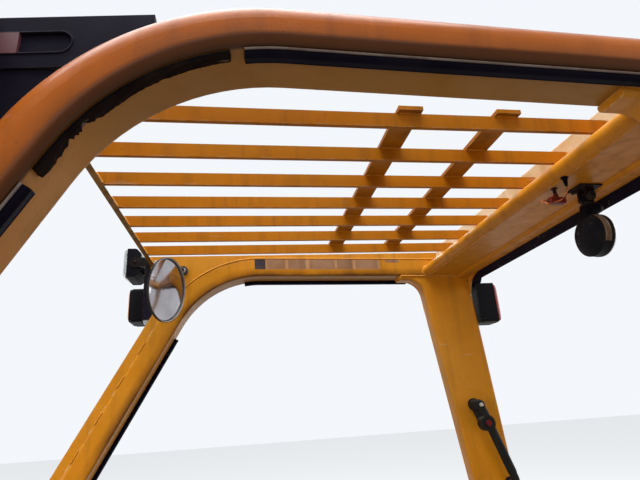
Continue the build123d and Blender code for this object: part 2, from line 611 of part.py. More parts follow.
for i in range(WORK_FIN_COUNT):
    profile += [(groove, WORK_BODY_R), (groove, WORK_BODY_R - WORK_FIN_DEPTH),
                (groove - WORK_FIN_GAP, WORK_BODY_R - WORK_FIN_DEPTH), (groove - WORK_FIN_GAP, WORK_BODY_R)]
    groove -= WORK_FIN_PITCH
profile += [(work_front, WORK_BODY_R), (work_front, WORK_RIM_R),
            (work_front - WORK_RIM_T, WORK_RIM_R), (work_front - WORK_RIM_T, WORK_BODY_R - WORK_FIN_DEPTH),
            (work_front - WORK_RIM_T + WORK_BOWL_DEPTH, WORK_BOWL_BACK_R),
            (work_front - WORK_RIM_T + WORK_BOWL_DEPTH, 0)]
half_section = make_face(Polyline(*[(x, WORK_Y, work_z + r) for x, r in profile], close=True))
work_body = revolve(half_section, Axis((work_x, WORK_Y, work_z), (1, 0, 0)))
work_body += block((work_x - WORK_LUG_R, work_x + WORK_LUG_R),
                   (WORK_Y - WORK_LUG_WIDTH / 2, WORK_Y + WORK_LUG_WIDTH / 2), (work_z, work_pivot_z))
work_body += pin_along_y(work_x, WORK_Y, work_pivot_z, WORK_LUG_R, WORK_LUG_WIDTH)
work_body += pin_along_y(work_x, WORK_Y, work_pivot_z, PIVOT_PIN_R, 2 * (work_gap + EAR_T))
nodes["work_lamp_body"] = work_body
work_lens_x = work_front - WORK_RIM_T - WORK_LENS_T / 2
nodes["work_lamp_lens"] = Pos(work_lens_x, WORK_Y, work_z) * Rot(0, 90, 0) * Cylinder(
    WORK_RIM_R - WORK_LENS_MARGIN, WORK_LENS_T)

# Mirror: bolted arm, ball, turned head and convex glass
aim = Vector(*MIRROR_AIM).normalized()
web_face = -PILLAR_IN
mirror_middle = Vector(CORNER_X + MIRROR_AHEAD, web_face + MIRROR_FROM_WEB, RAIL_Z - MIRROR_BELOW_RAIL)
ball_middle = mirror_middle - aim * MIRROR_BALL_BACK
bolt = Vector(CORNER_X + MIRROR_BOLT_AHEAD, web_face, RAIL_Z + MIRROR_BOLT_ABOVE_RAIL)
arm_route = [
    tuple(bolt + Vector(0, 1, 0)), tuple(bolt + Vector(0, MIRROR_ARM_OUT, 0)),
    tuple(ball_middle - aim * (MIRROR_BALL_R + MIRROR_NECK)), tuple(ball_middle)]
arm_path = FilletPolyline(*arm_route, radius=[MIRROR_ARM_BEND_R, MIRROR_ARM_BEND_R])
arm_tube = sweep(Plane(origin=arm_route[0], z_dir=(0, 1, 0)) * Circle(MIRROR_ARM_R), path=arm_path)
arm_pad = pin_along_y(bolt.X, bolt.Y + MIRROR_PAD_T / 2, bolt.Z, MIRROR_PAD_R, MIRROR_PAD_T)
ball_plane = Plane(origin=tuple(ball_middle), z_dir=tuple(aim))
hollow_r = MIRROR_BALL_R + MIRROR_FIT
ball_hollow = ball_plane * Sphere(hollow_r)
nodes["mirror_arm"] = arm_pad + arm_tube - ball_hollow
nodes["mirror_ball"] = ball_plane * Sphere(MIRROR_BALL_R)
head_plane = Plane(origin=tuple(mirror_middle), z_dir=tuple(aim))
socket_back = -MIRROR_BALL_BACK - MIRROR_SOCKET_WRAP
shell_profile = [
    (0, socket_back), (MIRROR_SOCKET_R, socket_back),
    (MIRROR_SOCKET_R, -MIRROR_SHELL_DEPTH), (MIRROR_SHELL_R, MIRROR_SEAT_DEPTH / 2 - MIRROR_SHELL_DEPTH),
    (MIRROR_R, -MIRROR_RIM_T), (MIRROR_R, 0), (MIRROR_R - MIRROR_RIM_WIDTH, 0),
    (MIRROR_R - MIRROR_RIM_WIDTH, -MIRROR_SEAT_DEPTH), (0, -MIRROR_SEAT_DEPTH)]
shell = revolve(make_face(Polyline(*[(r, 0, h) for r, h in shell_profile], close=True)), Axis.Z)
ball_mouth = Pos(0, 0, socket_back) * Cylinder(sqrt(hollow_r ** 2 - MIRROR_SOCKET_WRAP ** 2), 2 * CUT_OVER)
nodes["mirror_head"] = head_plane * (shell - ball_mouth) - ball_hollow
glass_r = MIRROR_R - MIRROR_RIM_WIDTH - MIRROR_FIT
glass_sphere = (glass_r ** 2 + MIRROR_DOME ** 2) / (2 * MIRROR_DOME)
dome = Pos(0, 0, MIRROR_DOME - MIRROR_SEAT_DEPTH - glass_sphere) * Sphere(glass_sphere)
dome &= Pos(0, 0, -MIRROR_SEAT_DEPTH) * Cylinder(
    glass_r, 4 * MIRROR_DOME, align=(Align.CENTER, Align.CENTER, Align.MIN))
nodes["mirror_glass"] = head_plane * dome

# Grab handle with a horn button, on the inner face of the right rear pillar
grab_bar = web_face + GRAB_STAND
grab_low_z = GRAB_TOP_Z - GRAB_LENGTH
grab_top_x = pillar_front(GRAB_TOP_Z) - GRAB_BEHIND_FRONT
grab_low_x = pillar_rear(grab_low_z) + GRAB_AHEAD_OF_REAR
grab_route = [
    (grab_top_x, web_face, GRAB_TOP_Z), (grab_top_x, grab_bar, GRAB_TOP_Z),
    (grab_low_x, grab_bar, grab_low_z), (grab_low_x, web_face, grab_low_z)]
grab_path = FilletPolyline(*grab_route, radius=[GRAB_BEND_R, GRAB_BEND_R])
grab_handle = sweep(Plane(origin=grab_route[0], z_dir=(0, 1, 0)) * Circle(GRAB_R), path=grab_path)
for x, z in ((grab_top_x, GRAB_TOP_Z), (grab_low_x, grab_low_z)):
    grab_handle += pin_along_y(x, web_face + GRAB_PAD_T / 2, z, GRAB_PAD_R, GRAB_PAD_T)
boss_share = BOSS_ALONG / hypot(grab_low_x - grab_top_x, GRAB_LENGTH)
boss_x = grab_top_x + (grab_low_x - grab_top_x) * boss_share + BOSS_AHEAD
boss_z = GRAB_TOP_Z - GRAB_LENGTH * boss_share
nodes["grab_handle"] = grab_handle + pin_along_y(boss_x, grab_bar, boss_z, BOSS_R, BOSS_T)
nodes["horn_button"] = pin_along_y(boss_x, grab_bar + (BOSS_T + HORN_T) / 2, boss_z, HORN_R, HORN_T)

# Plug that clips under the nose, the grommet in the nose and the lead between them
nose_under = NOSE_Z - NOSE_R
plug_y = WORK_Y - PLUG_RIGHT_OF_LAMP
plug_top = nose_under - PLUG_DROP
plug_front = NOSE_X - PLUG_BEHIND_NOSE + PLUG_LENGTH
plug = block((plug_front - PLUG_LENGTH, plug_front), (plug_y - PLUG_WIDTH / 2, plug_y + PLUG_WIDTH / 2),
             (plug_top - PLUG_HEIGHT, plug_top))
plug = fillet(plug.edges().filter_by(Axis.X), PLUG_EDGE_R)
clip_half = PLUG_CLIP / 2
clip = block((NOSE_X - clip_half, NOSE_X + clip_half), (plug_y - clip_half, plug_y + clip_half),
             (plug_top - CUT_OVER, nose_under + CUT_OVER))
nodes["lead_plug"] = plug + clip - nodes["rear_member"]
grommet_at = Vector(NOSE_X + GROMMET_AHEAD, WORK_Y + GROMMET_LEFT_OF_LAMP, nose_under - GROMMET_T / 2)
grommet = Pos(*grommet_at) * Cylinder(GROMMET_R, 2 * GROMMET_T)
nodes["lead_grommet"] = grommet - nodes["rear_member"]
lead_out = grommet_at - Vector(0, 0, GROMMET_T)
plug_mouth = Vector(plug_front, plug_y, plug_top - PLUG_HEIGHT / 2)
lead_route = [lead_out + Vector(*p) for p in LEAD_DROPS] + [plug_mouth + Vector(*p) for p in LEAD_POINTS]
lead_radii = []
for a, b, c in zip(lead_route, lead_route[1:], lead_route[2:]):
    half_turn = radians((b - a).get_angle(c - b)) / 2
    lead_radii.append(CORD_ARC_SHARE * min((b - a).length, (c - b).length) / tan(half_turn))
lead_path = FilletPolyline(*lead_route, radius=lead_radii)
nodes["lamp_lead"] = sweep(Plane(origin=lead_out, z_dir=(0, 0, -1)) * Circle(LEAD_R), path=lead_path)
print("lead points", [[round(v, 2) for v in p] for p in lead_route])
print("lead radii", [round(r, 1) for r in lead_radii], "length", round(lead_path.length, 1),
      "volume over section times length",
      round(nodes["lamp_lead"].volume / (Circle(LEAD_R).area * lead_path.length), 4))

whole = Compound(list(nodes.values())).bounding_box()
shift = -(whole.min.X + whole.max.X) / 2

for name, shape in nodes.items():
    solids = (Pos(shift, 0, 0) * shape).solids()
    piece = solids[0] if len(solids) == 1 else Compound(solids)
    piece.label = name
    export_step(piece, f"parts/{name}.step")

PRINTED_POINTS = [
    ("left front foot", (front_foot_x, front_foot_y, 0)),
    ("left rear foot", (rear_foot_x, rear_foot_y, 0)),
    ("left headlamp pivot", (head_x, head_y, head_z)),
    ("work lamp pivot", (work_x, WORK_Y, work_pivot_z)),
    ("mirror ball", tuple(ball_middle))]
print("nodes", len(nodes), "moved along X by", round(shift, 4))
for name, point in PRINTED_POINTS:
    print(name, [round(point[0] + shift, 4), round(point[1], 4), round(point[2], 4)])
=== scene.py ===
import bmesh
import bpy
import math
import numpy as np
from mathutils import Matrix, Vector


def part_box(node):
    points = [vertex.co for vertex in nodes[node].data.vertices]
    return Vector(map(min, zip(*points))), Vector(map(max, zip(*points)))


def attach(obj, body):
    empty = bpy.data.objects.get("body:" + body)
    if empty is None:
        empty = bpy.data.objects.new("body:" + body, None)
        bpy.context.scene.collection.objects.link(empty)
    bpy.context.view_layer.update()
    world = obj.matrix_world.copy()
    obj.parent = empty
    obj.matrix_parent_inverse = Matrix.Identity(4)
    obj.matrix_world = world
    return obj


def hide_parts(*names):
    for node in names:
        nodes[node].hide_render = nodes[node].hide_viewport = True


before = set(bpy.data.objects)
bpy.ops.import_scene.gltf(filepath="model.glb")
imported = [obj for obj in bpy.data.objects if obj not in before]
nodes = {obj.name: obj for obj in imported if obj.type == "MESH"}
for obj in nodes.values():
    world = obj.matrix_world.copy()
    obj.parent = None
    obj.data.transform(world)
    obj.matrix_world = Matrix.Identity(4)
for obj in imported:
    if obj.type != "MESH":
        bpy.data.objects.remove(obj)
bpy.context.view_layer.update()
scene = bpy.context.scene

# Camera. The operator's eye stands outside the left hoop, a metre above the feet, and looks up
# and across the truck. Its place along the truck is tied to the rear end of the middle slat.
slat_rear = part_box("roof_slat_4")[0].x
eye = Vector((slat_rear + 0.705, 1.0785, 1.0))
eye_right = Vector((-0.98705, 0.14806, -0.06186))
eye_up = Vector((-0.00958, 0.33045, 0.94379))
eye_back = Vector((0.16017, 0.93215, -0.32474))
FOCAL_PIXELS, PICTURE_WIDTH = 475.0, 640.0
camera_data = bpy.data.cameras.new("operator_eye")
camera_data.sensor_width = 36.0
camera_data.lens = FOCAL_PIXELS / PICTURE_WIDTH * camera_data.sensor_width
camera_data.clip_start = 0.01
camera = bpy.data.objects.new("operator_eye", camera_data)
camera.matrix_world = Matrix((*zip(eye_right, eye_up, eye_back, eye), (0, 0, 0, 1)))
scene.collection.objects.link(camera)
scene.camera = camera
scene.view_settings.view_transform = "Standard"


# Studio: a pale floor under the feet, a pale sky that only the camera, glass and gloss see, and
# soft lamps: a broad one overhead as from a cloudy sky, the others low and weak on each side.
def fill(node, sockets):
    """Gives a shader node its inputs, by name or number, each a plain value or another node's output."""
    for key, value in sockets.items():
        if isinstance(value, bpy.types.NodeSocket):
            node.id_data.links.new(value, node.inputs[key])
        else:
            node.inputs[key].default_value = value


def put(tree, kind, sockets, **settings):
    """New shader node with its settings and inputs."""
    node = tree.nodes.new("ShaderNode" + kind)
    for key, value in settings.items():
        setattr(node, key, value)
    fill(node, sockets)
    return node


def seen_or_lit(tree, seen, lit, output):
    """The seen shader for camera, gloss and glass rays, and the lit one for light that falls on the object."""
    path = put(tree, "LightPath", {})
    clear = put(tree, "Math", {0: path.outputs["Is Camera Ray"], 1: path.outputs["Is Transmission Ray"]},
                operation="MAXIMUM")
    any_seen = put(tree, "Math", {0: clear.outputs[0], 1: path.outputs["Is Glossy Ray"]}, operation="MAXIMUM")
    pick = put(tree, "MixShader", {0: any_seen.outputs[0], 1: lit.outputs[0], 2: seen.outputs[0]})
    tree.links.new(pick.outputs[0], output.inputs["Surface"])


floor_mesh = bpy.data.meshes.new("studio_floor")
floor_mesh.from_pydata([(-14, -14, 0), (14, -14, 0), (14, 14, 0), (-14, 14, 0)], [], [(0, 1, 2, 3)])
floor = bpy.data.objects.new("studio_floor", floor_mesh)
scene.collection.objects.link(floor)
floor_paint = bpy.data.materials.new("studio_floor_paint")
floor_paint.use_nodes = True
floor_tree = floor_paint.node_tree
floor_tree.nodes.clear()
floor_glow = put(floor_tree, "Emission", {"Color": (0.86, 0.88, 0.90, 1), "Strength": 0.84})
floor_face = put(floor_tree, "BsdfDiffuse", {"Color": (0.34, 0.34, 0.34, 1)})
floor_seen = put(floor_tree, "AddShader", {0: floor_glow.outputs[0], 1: floor_face.outputs[0]})
floor_lit = put(floor_tree, "BsdfDiffuse", {"Color": (0.26, 0.22, 0.18, 1)})
seen_or_lit(floor_tree, floor_seen, floor_lit, put(floor_tree, "OutputMaterial", {}))
floor_mesh.materials.append(floor_paint)

world = bpy.data.worlds.new("studio_world")
scene.world = world
world.use_nodes = True
sky = world.node_tree
sky.nodes.clear()
sky_seen = put(sky, "Background", {"Color": (0.90, 0.93, 0.97, 1), "Strength": 1.0})
sky_lit = put(sky, "Background", {"Color": (0.88, 0.93, 1.0, 1), "Strength": 0.20})
seen_or_lit(sky, sky_seen, sky_lit, put(sky, "OutputWorld", {}))


def soft_lamp(name, place, aim, size, watts, color):
    """Square area lamp at a place, turned to face a point."""
    data = bpy.data.lights.new(name, "AREA")
    data.size = size
    data.energy = watts
    data.color = color
    lamp = bpy.data.objects.new(name, data)
    lamp.location = place
    lamp.rotation_euler = (Vector(aim) - Vector(place)).to_track_quat("-Z", "Y").to_euler()
    scene.collection.objects.link(lamp)


soft_lamp("sky_lamp", (0.5, 0.6, 5.0), (0.0, 0.0, 1.2), 4.0, 350.0, (0.97, 0.98, 1.0))
soft_lamp("left_lamp", (-0.6, 5.0, 2.4), (0.0, 0.0, 1.2), 2.6, 62.0, (1.0, 0.96, 0.90))
soft_lamp("front_lamp", (3.2, 2.4, 0.9), (0.4, -0.4, 0.9), 1.6, 60.0, (1.0, 0.95, 0.88))
soft_lamp("right_lamp", (-0.8, -4.4, 2.6), (0.0, 0.0, 1.2), 2.4, 80.0, (0.95, 0.97, 1.0))
soft_lamp("rear_lamp", (-4.4, 0.8, 2.2), (0.0, 0.0, 1.2), 2.4, 70.0, (0.97, 0.98, 1.0))


# Guard frame: hoops, pillars, webs and flanges are steel under one thick coat of yellow paint. It has
# faded in the sun, run dirty where rain drains off, and worn through to primer along its edges.
def new_effect(name, inputs, outputs):
    """Empty shader node group with named inputs, each of a kind with a value, and named outputs."""
    group = bpy.data.node_groups.new(name, "ShaderNodeTree")
    for label, value in inputs.items():
        kind = "NodeSocketColor" if isinstance(value, tuple) else "NodeSocketFloat"
        group.interface.new_socket(label, in_out="INPUT", socket_type=kind).default_value = value
    for label in outputs:
        kind = "NodeSocketColor" if label == "Color" else "NodeSocketFloat"
        group.interface.new_socket(label, in_out="OUTPUT", socket_type=kind)
    given = group.nodes.new("NodeGroupInput").outputs
    made = group.nodes.new("NodeGroupOutput").inputs
    return group, given, made


def mix(tree, share, a, b, blend="MIX"):
    """Colour a turned into colour b by a share, or blended with it."""
    node = put(tree, "Mix", {0: share, 6: a, 7: b}, data_type="RGBA", blend_type=blend)
    return node.outputs[2]


def calc(tree, operation, a, b=0.0):
    """One sum on values, kept between 0 and 1."""
    return put(tree, "Math", {0: a, 1: b}, operation=operation, use_clamp=True).outputs[0]


def times(tree, product, *shares):
    """Product of values, kept between 0 and 1."""
    for share in shares:
        product = calc(tree, "MULTIPLY", product, share)
    return product


def band(tree, value, low, high):
    """0 where a value is under low, 1 where it is over high, and even between."""
    return put(tree, "MapRange", {0: value, 1: low, 2: high}, clamp=True).outputs[0]


def cloud(tree, place, scale, detail, rough=0.55):
    """Cloudy noise from 0 to 1 about the middle, read at a place."""
    return put(tree, "TexNoise", {"Vector": place, "Scale": scale, "Detail": detail, "Roughness": rough}).outputs[0]


weather, given, made = new_effect(
    "weather",
    {"Fresh": (0.7, 0.3, 0.0, 1), "Faded": (0.7, 0.3, 0.1, 1), "Grime And Shade": (0.1, 0.05, 0.02, 1),
     "Grime And Shade Share": 0.5, "Dust Share": 0.3, "Patch Scale": 2.0},
    ("Color", "Dull", "Relief"))
here = put(weather, "TexCoord", {}).outputs["Object"]
facing = put(weather, "SeparateXYZ", {0: put(weather, "NewGeometry", {}).outputs["Normal"]}).outputs["Z"]
patches = band(weather, cloud(weather, here, given["Patch Scale"], 4.0), 0.38, 0.64)
coat = mix(weather, patches, given["Fresh"], given["Faded"])
mottle = cloud(weather, here, 19.0, 6.0, 0.62)
mottle_color = mix(weather, band(weather, mottle, 0.3, 0.7), (0.62, 0.60, 0.58, 1), (1.25, 1.27, 1.3, 1))
coat = mix(weather, 0.32, coat, mottle_color, "MULTIPLY")
run_place = put(weather, "Mapping", {"Vector": here, "Scale": (34.0, 34.0, 2.2)}).outputs[0]
runs = band(weather, cloud(weather, run_place, 1.0, 4.0), 0.50, 0.74)
# Faces that look down are mixed toward the dirt colour as painted shade; the rain runs added to them are real dirt.
underside_shade = times(weather, band(weather, facing, 0.25, -0.75), band(weather, mottle, 0.2, 0.75))
grime_and_underside_shade = times(weather, calc(weather, "ADD", times(weather, runs, 0.55), underside_shade), given["Grime And Shade Share"])
coat = mix(weather, grime_and_underside_shade, coat, given["Grime And Shade"])
settled = times(weather, band(weather, facing, 0.35, 1.0),
                band(weather, cloud(weather, here, 7.0, 5.0), 0.35, 0.7), given["Dust Share"])
coat = mix(weather, settled, coat, (0.42, 0.36, 0.28, 1))
specks = times(weather, band(weather, cloud(weather, here, 210.0, 2.0), 0.66, 0.72), band(weather, mottle, 0.45, 0.6))
coat = mix(weather, times(weather, specks, 0.6), coat, given["Grime And Shade"])
scratch_place = put(weather, "Mapping", {"Vector": here, "Rotation": (0.5, 0.35, 0.2), "Scale": (4.0, 170.0, 60.0)})
scratches = times(weather, band(weather, cloud(weather, scratch_place.outputs[0], 1.0, 2.0), 0.70, 0.73),
                  band(weather, patches, 0.2, 0.9))
weather.links.new(mix(weather, times(weather, scratches, 0.35), coat, (0.55, 0.47, 0.36, 1)), made["Color"])
dull = calc(weather, "ADD", calc(weather, "ADD", grime_and_underside_shade, settled), times(weather, mottle, 0.35))
weather.links.new(dull, made["Dull"])
relief = calc(weather, "ADD", cloud(weather, here, 120.0, 2.0), times(weather, specks, 0.2))
weather.links.new(calc(weather, "SUBTRACT", relief, times(weather, scratches, 0.25)), made["Relief"])

edge_wear, given, made = new_effect("edge_wear", {"Width": 0.004, "Share": 0.5}, ("Mask",))
rounded = put(edge_wear, "Bevel", {"Radius": given["Width"]}, samples=4).outputs[0]
turned_by = put(edge_wear, "VectorMath", {0: rounded, 1: put(edge_wear, "NewGeometry", {}).outputs["Normal"]},
                operation="DOT_PRODUCT").outputs["Value"]
ragged = cloud(edge_wear, put(edge_wear, "TexCoord", {}).outputs["Object"], 46.0, 5.0, 0.7)
edge_wear.links.new(times(edge_wear, band(edge_wear, turned_by, 0.97, 0.80), band(edge_wear, ragged, 0.44, 0.60),
                          given["Share"]), made["Mask"])

grain, given, made = new_effect("grain", {"Pits": 600.0, "Relief": 0.0}, ("Height",))
pit_place = put(grain, "TexCoord", {}).outputs["Object"]
pits = put(grain, "TexVoronoi", {"Vector": pit_place, "Scale": given["Pits"]}, feature="SMOOTH_F1").outputs["Distance"]
grain.links.new(calc(grain, "ADD", times(grain, pits, 0.5), times(grain, given["Relief"], 0.5)), made["Height"])


def coated(name, fresh, faded, grime_and_shade, grime_and_shade_share, dust_share, patch_scale):
    """New material with the weathered coat in it. Returns it, its node tree, its shader and the coat's outputs."""
    made_of = bpy.data.materials.new(name)
    made_of.use_nodes = True
    tree = made_of.node_tree
    coat = put(tree, "Group", {"Fresh": (*fresh, 1), "Faded": (*faded, 1), "Grime And Shade": (*grime_and_shade, 1),
                               "Grime And Shade Share": grime_and_shade_share, "Dust Share": dust_share, "Patch Scale": patch_scale},
               node_tree=weather)
    return made_of, tree, tree.nodes["Principled BSDF"], coat.outputs


def finish(name, fresh, faded, grime_and_shade, shares, smooth, dull, relief_depth, pits=600.0, patch_scale=2.0, metal=0.0,
           worn=None, coat_weight=0.0, specular=0.06):
    """Opaque material: weathered colour, darkened on faces that look down as painted shade, dirt that dulls it, fine
    relief, and worn edges where a colour is given. Shares are those of the dirt with that painted shade, dust and edge
    wear."""
    made_of, tree, shader, skin = coated(name, fresh, faded, grime_and_shade, shares[0], shares[1], patch_scale)
    color = skin["Color"]
    rough = put(tree, "MapRange", {0: skin["Dull"], 3: smooth, 4: dull})
    if worn:
        rubbed = put(tree, "Group", {"Share": shares[2]}, node_tree=edge_wear)
        color = mix(tree, rubbed.outputs["Mask"], color, (*worn, 1))
    fine = put(tree, "Group", {"Relief": skin["Relief"], "Pits": pits}, node_tree=grain)
    bump = put(tree, "Bump", {"Height": fine.outputs["Height"], "Strength": 0.5, "Distance": relief_depth})
    fill(shader, {"Base Color": color, "Roughness": rough.outputs[0], "Normal": bump.outputs[0], "Metallic": metal,
                  "Specular IOR Level": specular, "Coat Weight": coat_weight, "Coat Roughness": 0.12})
    return made_of


def dress(material, *names):
    """Gives CAD nodes their material."""
    for name in names:
        for place in nodes[name].material_slots:
            place.material = material


HANDS = ("left_", "right_")


def pair(*names):
    """The left and the right node of each name."""
    return [hand + name for name in names for hand in HANDS]


guard_paint = finish("guard_paint", (0.60, 0.225, 0.007), (0.60, 0.255, 0.022), (0.12, 0.052, 0.014), (0.50, 0.30, 0.8),
                     0.26, 0.62, 0.0006, patch_scale=1.7, worn=(0.60, 0.50, 0.36), coat_weight=0.04, specular=0.09)
dress(guard_paint, *pair("rear_pillar", "roof_web", "screen_flange", "front_foot", "rear_foot"))


# Welds: every joint of the frame has a run of overlapping beads, painted with the rest. The long ones
# join the roof webs to the hoops, the short ones hold the slats, the bars, the pillars and the feet.
LEG_X, KNEE_Z, CORNER_X, RAIL_Z = 0.67625, 0.702, 0.27325, 1.428
RAIL_REAR_X, RAIL_FALL, FOOT_T = -0.66175, 0.02, 0.016
KNEE_R, CORNER_R, HOOP_DEPTH, EDGE_STEP = 0.150, 0.294, 0.069, 0.001
HOOP_IN, HOOP_OUT, PILLAR_IN, PILLAR_OUT = 0.510, 0.610, 0.512, 0.568
PILLAR_REAR_X, PILLAR_FRONT_X, FLARE_END_X, WEB_FRONT = -0.75675, -0.66475, -0.4025, (0.3595, 1.273)
ABOVE_KNEE = (0.76, 0.92)
SIDES = (1, -1)


def rail_under(x):
    """Height of the side rail's underside at a place along it."""
    return RAIL_Z - RAIL_FALL * (CORNER_X - x)


def unit(ways):
    """Directions drawn to length one."""
    return ways / np.linalg.norm(ways, axis=-1, keepdims=True)


def lengths(line):
    """Length along a line of points, at each of them."""
    return np.r_[0, np.cumsum(np.linalg.norm(np.diff(line, axis=0), axis=1))]


def spaced(line, along):
    """Points at those lengths along a line of points."""
    return np.stack([np.interp(along, lengths(line), row) for row in line.T], -1)


def hoop_edge():
    """Points (x, z) every millimetre along the hoop's inner edge, foot to rear: straight runs, and at the knee and
    the corner the arc of that radius which touches both runs. Also the outward normal and length at each point."""
    corners = np.array([(LEG_X, FOOT_T), (LEG_X, KNEE_Z), (CORNER_X, RAIL_Z), (RAIL_REAR_X, rail_under(RAIL_REAR_X))])
    runs = unit(np.diff(corners, axis=0))
    line = [corners[:1]]
    for corner, into, away, radius in zip(corners[1:], runs, runs[1:], (KNEE_R, CORNER_R)):
        turn = math.acos(into @ away)
        inward = np.array((-into[1], into[0]))
        start = corner - into * radius * math.tan(turn / 2)
        angle = np.linspace(0, turn, 80)[:, None]
        line.append(start + radius * (np.sin(angle) * into + (1 - np.cos(angle)) * inward))
    line = np.vstack(line + [corners[-1:]])
    along = np.arange(0, lengths(line)[-1], EDGE_STEP)
    line = spaced(line, along)
    tangent = unit(np.gradient(line, axis=0))
    return along, line, np.stack([tangent[:, 1], -tangent[:, 0]], -1)


edge_along, edge_line, edge_out = hoop_edge()


def xyz(x, y, z):
    """Points from their coordinates, each a number or an array."""
    return np.stack(np.broadcast_arrays(x, y, z), -1)


def on_hoop(along, out, y):
    """Point beside the hoop's inner edge: at a length along it, moved outwards along the normal, and across to y."""
    x, z, out_x, out_z = (np.interp(along, edge_along, row) for row in (*edge_line.T, *edge_out.T))
    return xyz(x + out_x * out, y, z + out_z * out)


def along_at(x, z):
    """Length along the hoop's inner edge where it passes nearest a point."""
    return edge_along[np.argmin(np.hypot(*(edge_line - (x, z)).T))]


def hoop_seal_shade(tree):
    """Share of the painted shade in a dark band beside the door seals: full at the hoop's inner edge, gone 30 mm
    further out and below the knee. The distance is that from the rail's line, round the corner that from the bend's
    middle less its radius, and below the bend that from the raked pillar's line."""
    place = put(tree, "TexCoord", {}).outputs["Object"]
    rake_low, rake_middle, rake_high, bend = (int(round(along / EDGE_STEP)) for along in (1.10, 1.15, 1.20, 1.45))
    rake_way, rail_way = unit(edge_line[rake_low] - edge_line[rake_high]), unit(edge_line[-1] - edge_line[-100])
    rake_out, rail_out = edge_out[rake_middle], edge_out[-50]
    middle = edge_line[bend] - edge_out[bend] * CORNER_R

    def value(operation, a, b=0.0):
        """One sum on values."""
        return put(tree, "Math", {0: a, 1: b}, operation=operation).outputs[0]

    def reach(way):
        """Distance of the place from the bend's middle along a direction."""
        dot = put(tree, "VectorMath", {0: place, 1: (way[0], 0.0, way[1])}, operation="DOT_PRODUCT").outputs["Value"]
        return value("SUBTRACT", dot, float(middle @ way))

    ahead = value("MAXIMUM", value("MULTIPLY", reach(rail_way), -1.0))
    out = reach(rail_out)
    bent = value("SQRT", value("ADD", value("MULTIPLY", ahead, ahead), value("MULTIPLY", out, out)))
    below = value("GREATER_THAN", reach(rake_way), 0.0)
    distance = value("ADD", value("MULTIPLY", value("SUBTRACT", reach(rake_out), bent), below), bent)
    height = put(tree, "SeparateXYZ", {0: place}).outputs["Z"]
    return times(tree, band(tree, value("SUBTRACT", distance, CORNER_R), 0.030, 0.0), band(tree, height, *ABOVE_KNEE))


def build(name, grids, material, body="guard", replaced=(), wrap=True):
    """Piece from grids of points, rows by columns: each point makes a face with its next row and next column.
    With wrap, the last column joins the first. Points that coincide are merged, and faces then turned outwards."""
    points, faces, first = [], [], 0
    for grid in grids:
        rows, columns = grid.shape[:2]
        number = first + np.arange(rows * columns).reshape(rows, columns)
        if wrap:
            number = np.hstack([number, number[:, :1]])
        faces.append(np.stack([number[:-1, :-1], number[1:, :-1], number[1:, 1:], number[:-1, 1:]], -1).reshape(-1, 4))
        points.append(grid.reshape(-1, 3))
        first += rows * columns
    mesh = bpy.data.meshes.new(name)
    mesh.from_pydata(np.vstack(points), [], np.vstack(faces).tolist())
    shape = bmesh.new()
    shape.from_mesh(mesh)
    bmesh.ops.remove_doubles(shape, verts=shape.verts, dist=2e-6)
    bmesh.ops.dissolve_degenerate(shape, edges=shape.edges, dist=1e-6)
    bmesh.ops.recalc_face_normals(shape, faces=shape.faces)
    shape.to_mesh(mesh)
    shape.free()
    mesh.polygons.foreach_set("use_smooth", np.full(len(mesh.polygons), True))
    mesh.materials.append(material)
    piece = bpy.data.objects.new(name, mesh)
    scene.collection.objects.link(piece)
    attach(piece, body)
    if replaced:
        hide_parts(*replaced)
    return piece


def crease(piece, angle=35.0):
    """Faces that meet at more than an angle in degrees keep a sharp edge."""
    piece.data.set_sharp_from_angle(angle=math.radians(angle))
    return piece


def full_turn(count):
    """Angles evenly round a full turn."""
    return np.linspace(0, 2 * np.pi, count, endpoint=False)


def ring_of(count, aside, upright):
    """Ring of points about nought: the cosine times one way plus the sine times the other."""
    angle = full_turn(count)[:, None]
    return np.cos(angle) * aside + np.sin(angle) * upright


def weld_bead(path, side, radius):
    """Weld along a path: round rings across it, from a sideways direction. Their radius swells by an eighth every
    3.5 mm, wanders by two slow sines, and falls to nothing at both ends."""
    path = np.asarray(path, float)
    length = lengths(path)[-1]
    along = np.linspace(0, length, max(int(length / 0.0012), 6))
    line = spaced(path, along)
    size = radius * (1 + 0.13 * np.sin(along * 2 * np.pi / 0.0035) + 0.10 * np.sin(along * 71 + path[0, 0] * 90)
                     + 0.07 * np.sin(along * 190 + path[0, 1] * 50))
    size *= np.clip(np.minimum(along, length - along) / radius, 0, 1) ** 0.5
    side = np.broadcast_to(np.asarray(side, float), line.shape)
    lift = unit(np.cross(np.gradient(line, axis=0), side))
    return line[:, None] + size[:, None, None] * ring_of(8, side[:, None], lift[:, None])


def box_of(node):
    """Middle and half size of a node's box."""
    low, high = (np.array(corner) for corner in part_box(node))
    return (low + high) / 2, (high - low) / 2


SLAT_TOP, SLAT_UNDER, SLAT_HALF = 1.488, 1.460, 0.0045
MEMBER_FRONT_X, MEMBER_UNDER = -0.55075, 1.412
ROLL_X, ROLL_Z, ROLL_R = -0.5077, 1.431, 0.019
PLATE_X, PLATE_LEAN = 0.45825, math.radians(32.4)
WELD_OUT, WELD_Y, JOINT_Y = 0.0632, 0.5116, 0.5096
STITCH, STITCH_STEP = 0.042, 0.115
ACROSS, REARWARD = (0, 1, 0), (-1, 0, 0)
plate_low_x = PLATE_X - (SLAT_TOP - SLAT_UNDER) * math.tan(PLATE_LEAN)
beads = []


def weld(path, side, radius):
    """One more bead of the frame."""
    beads.append(weld_bead(path, side, radius))


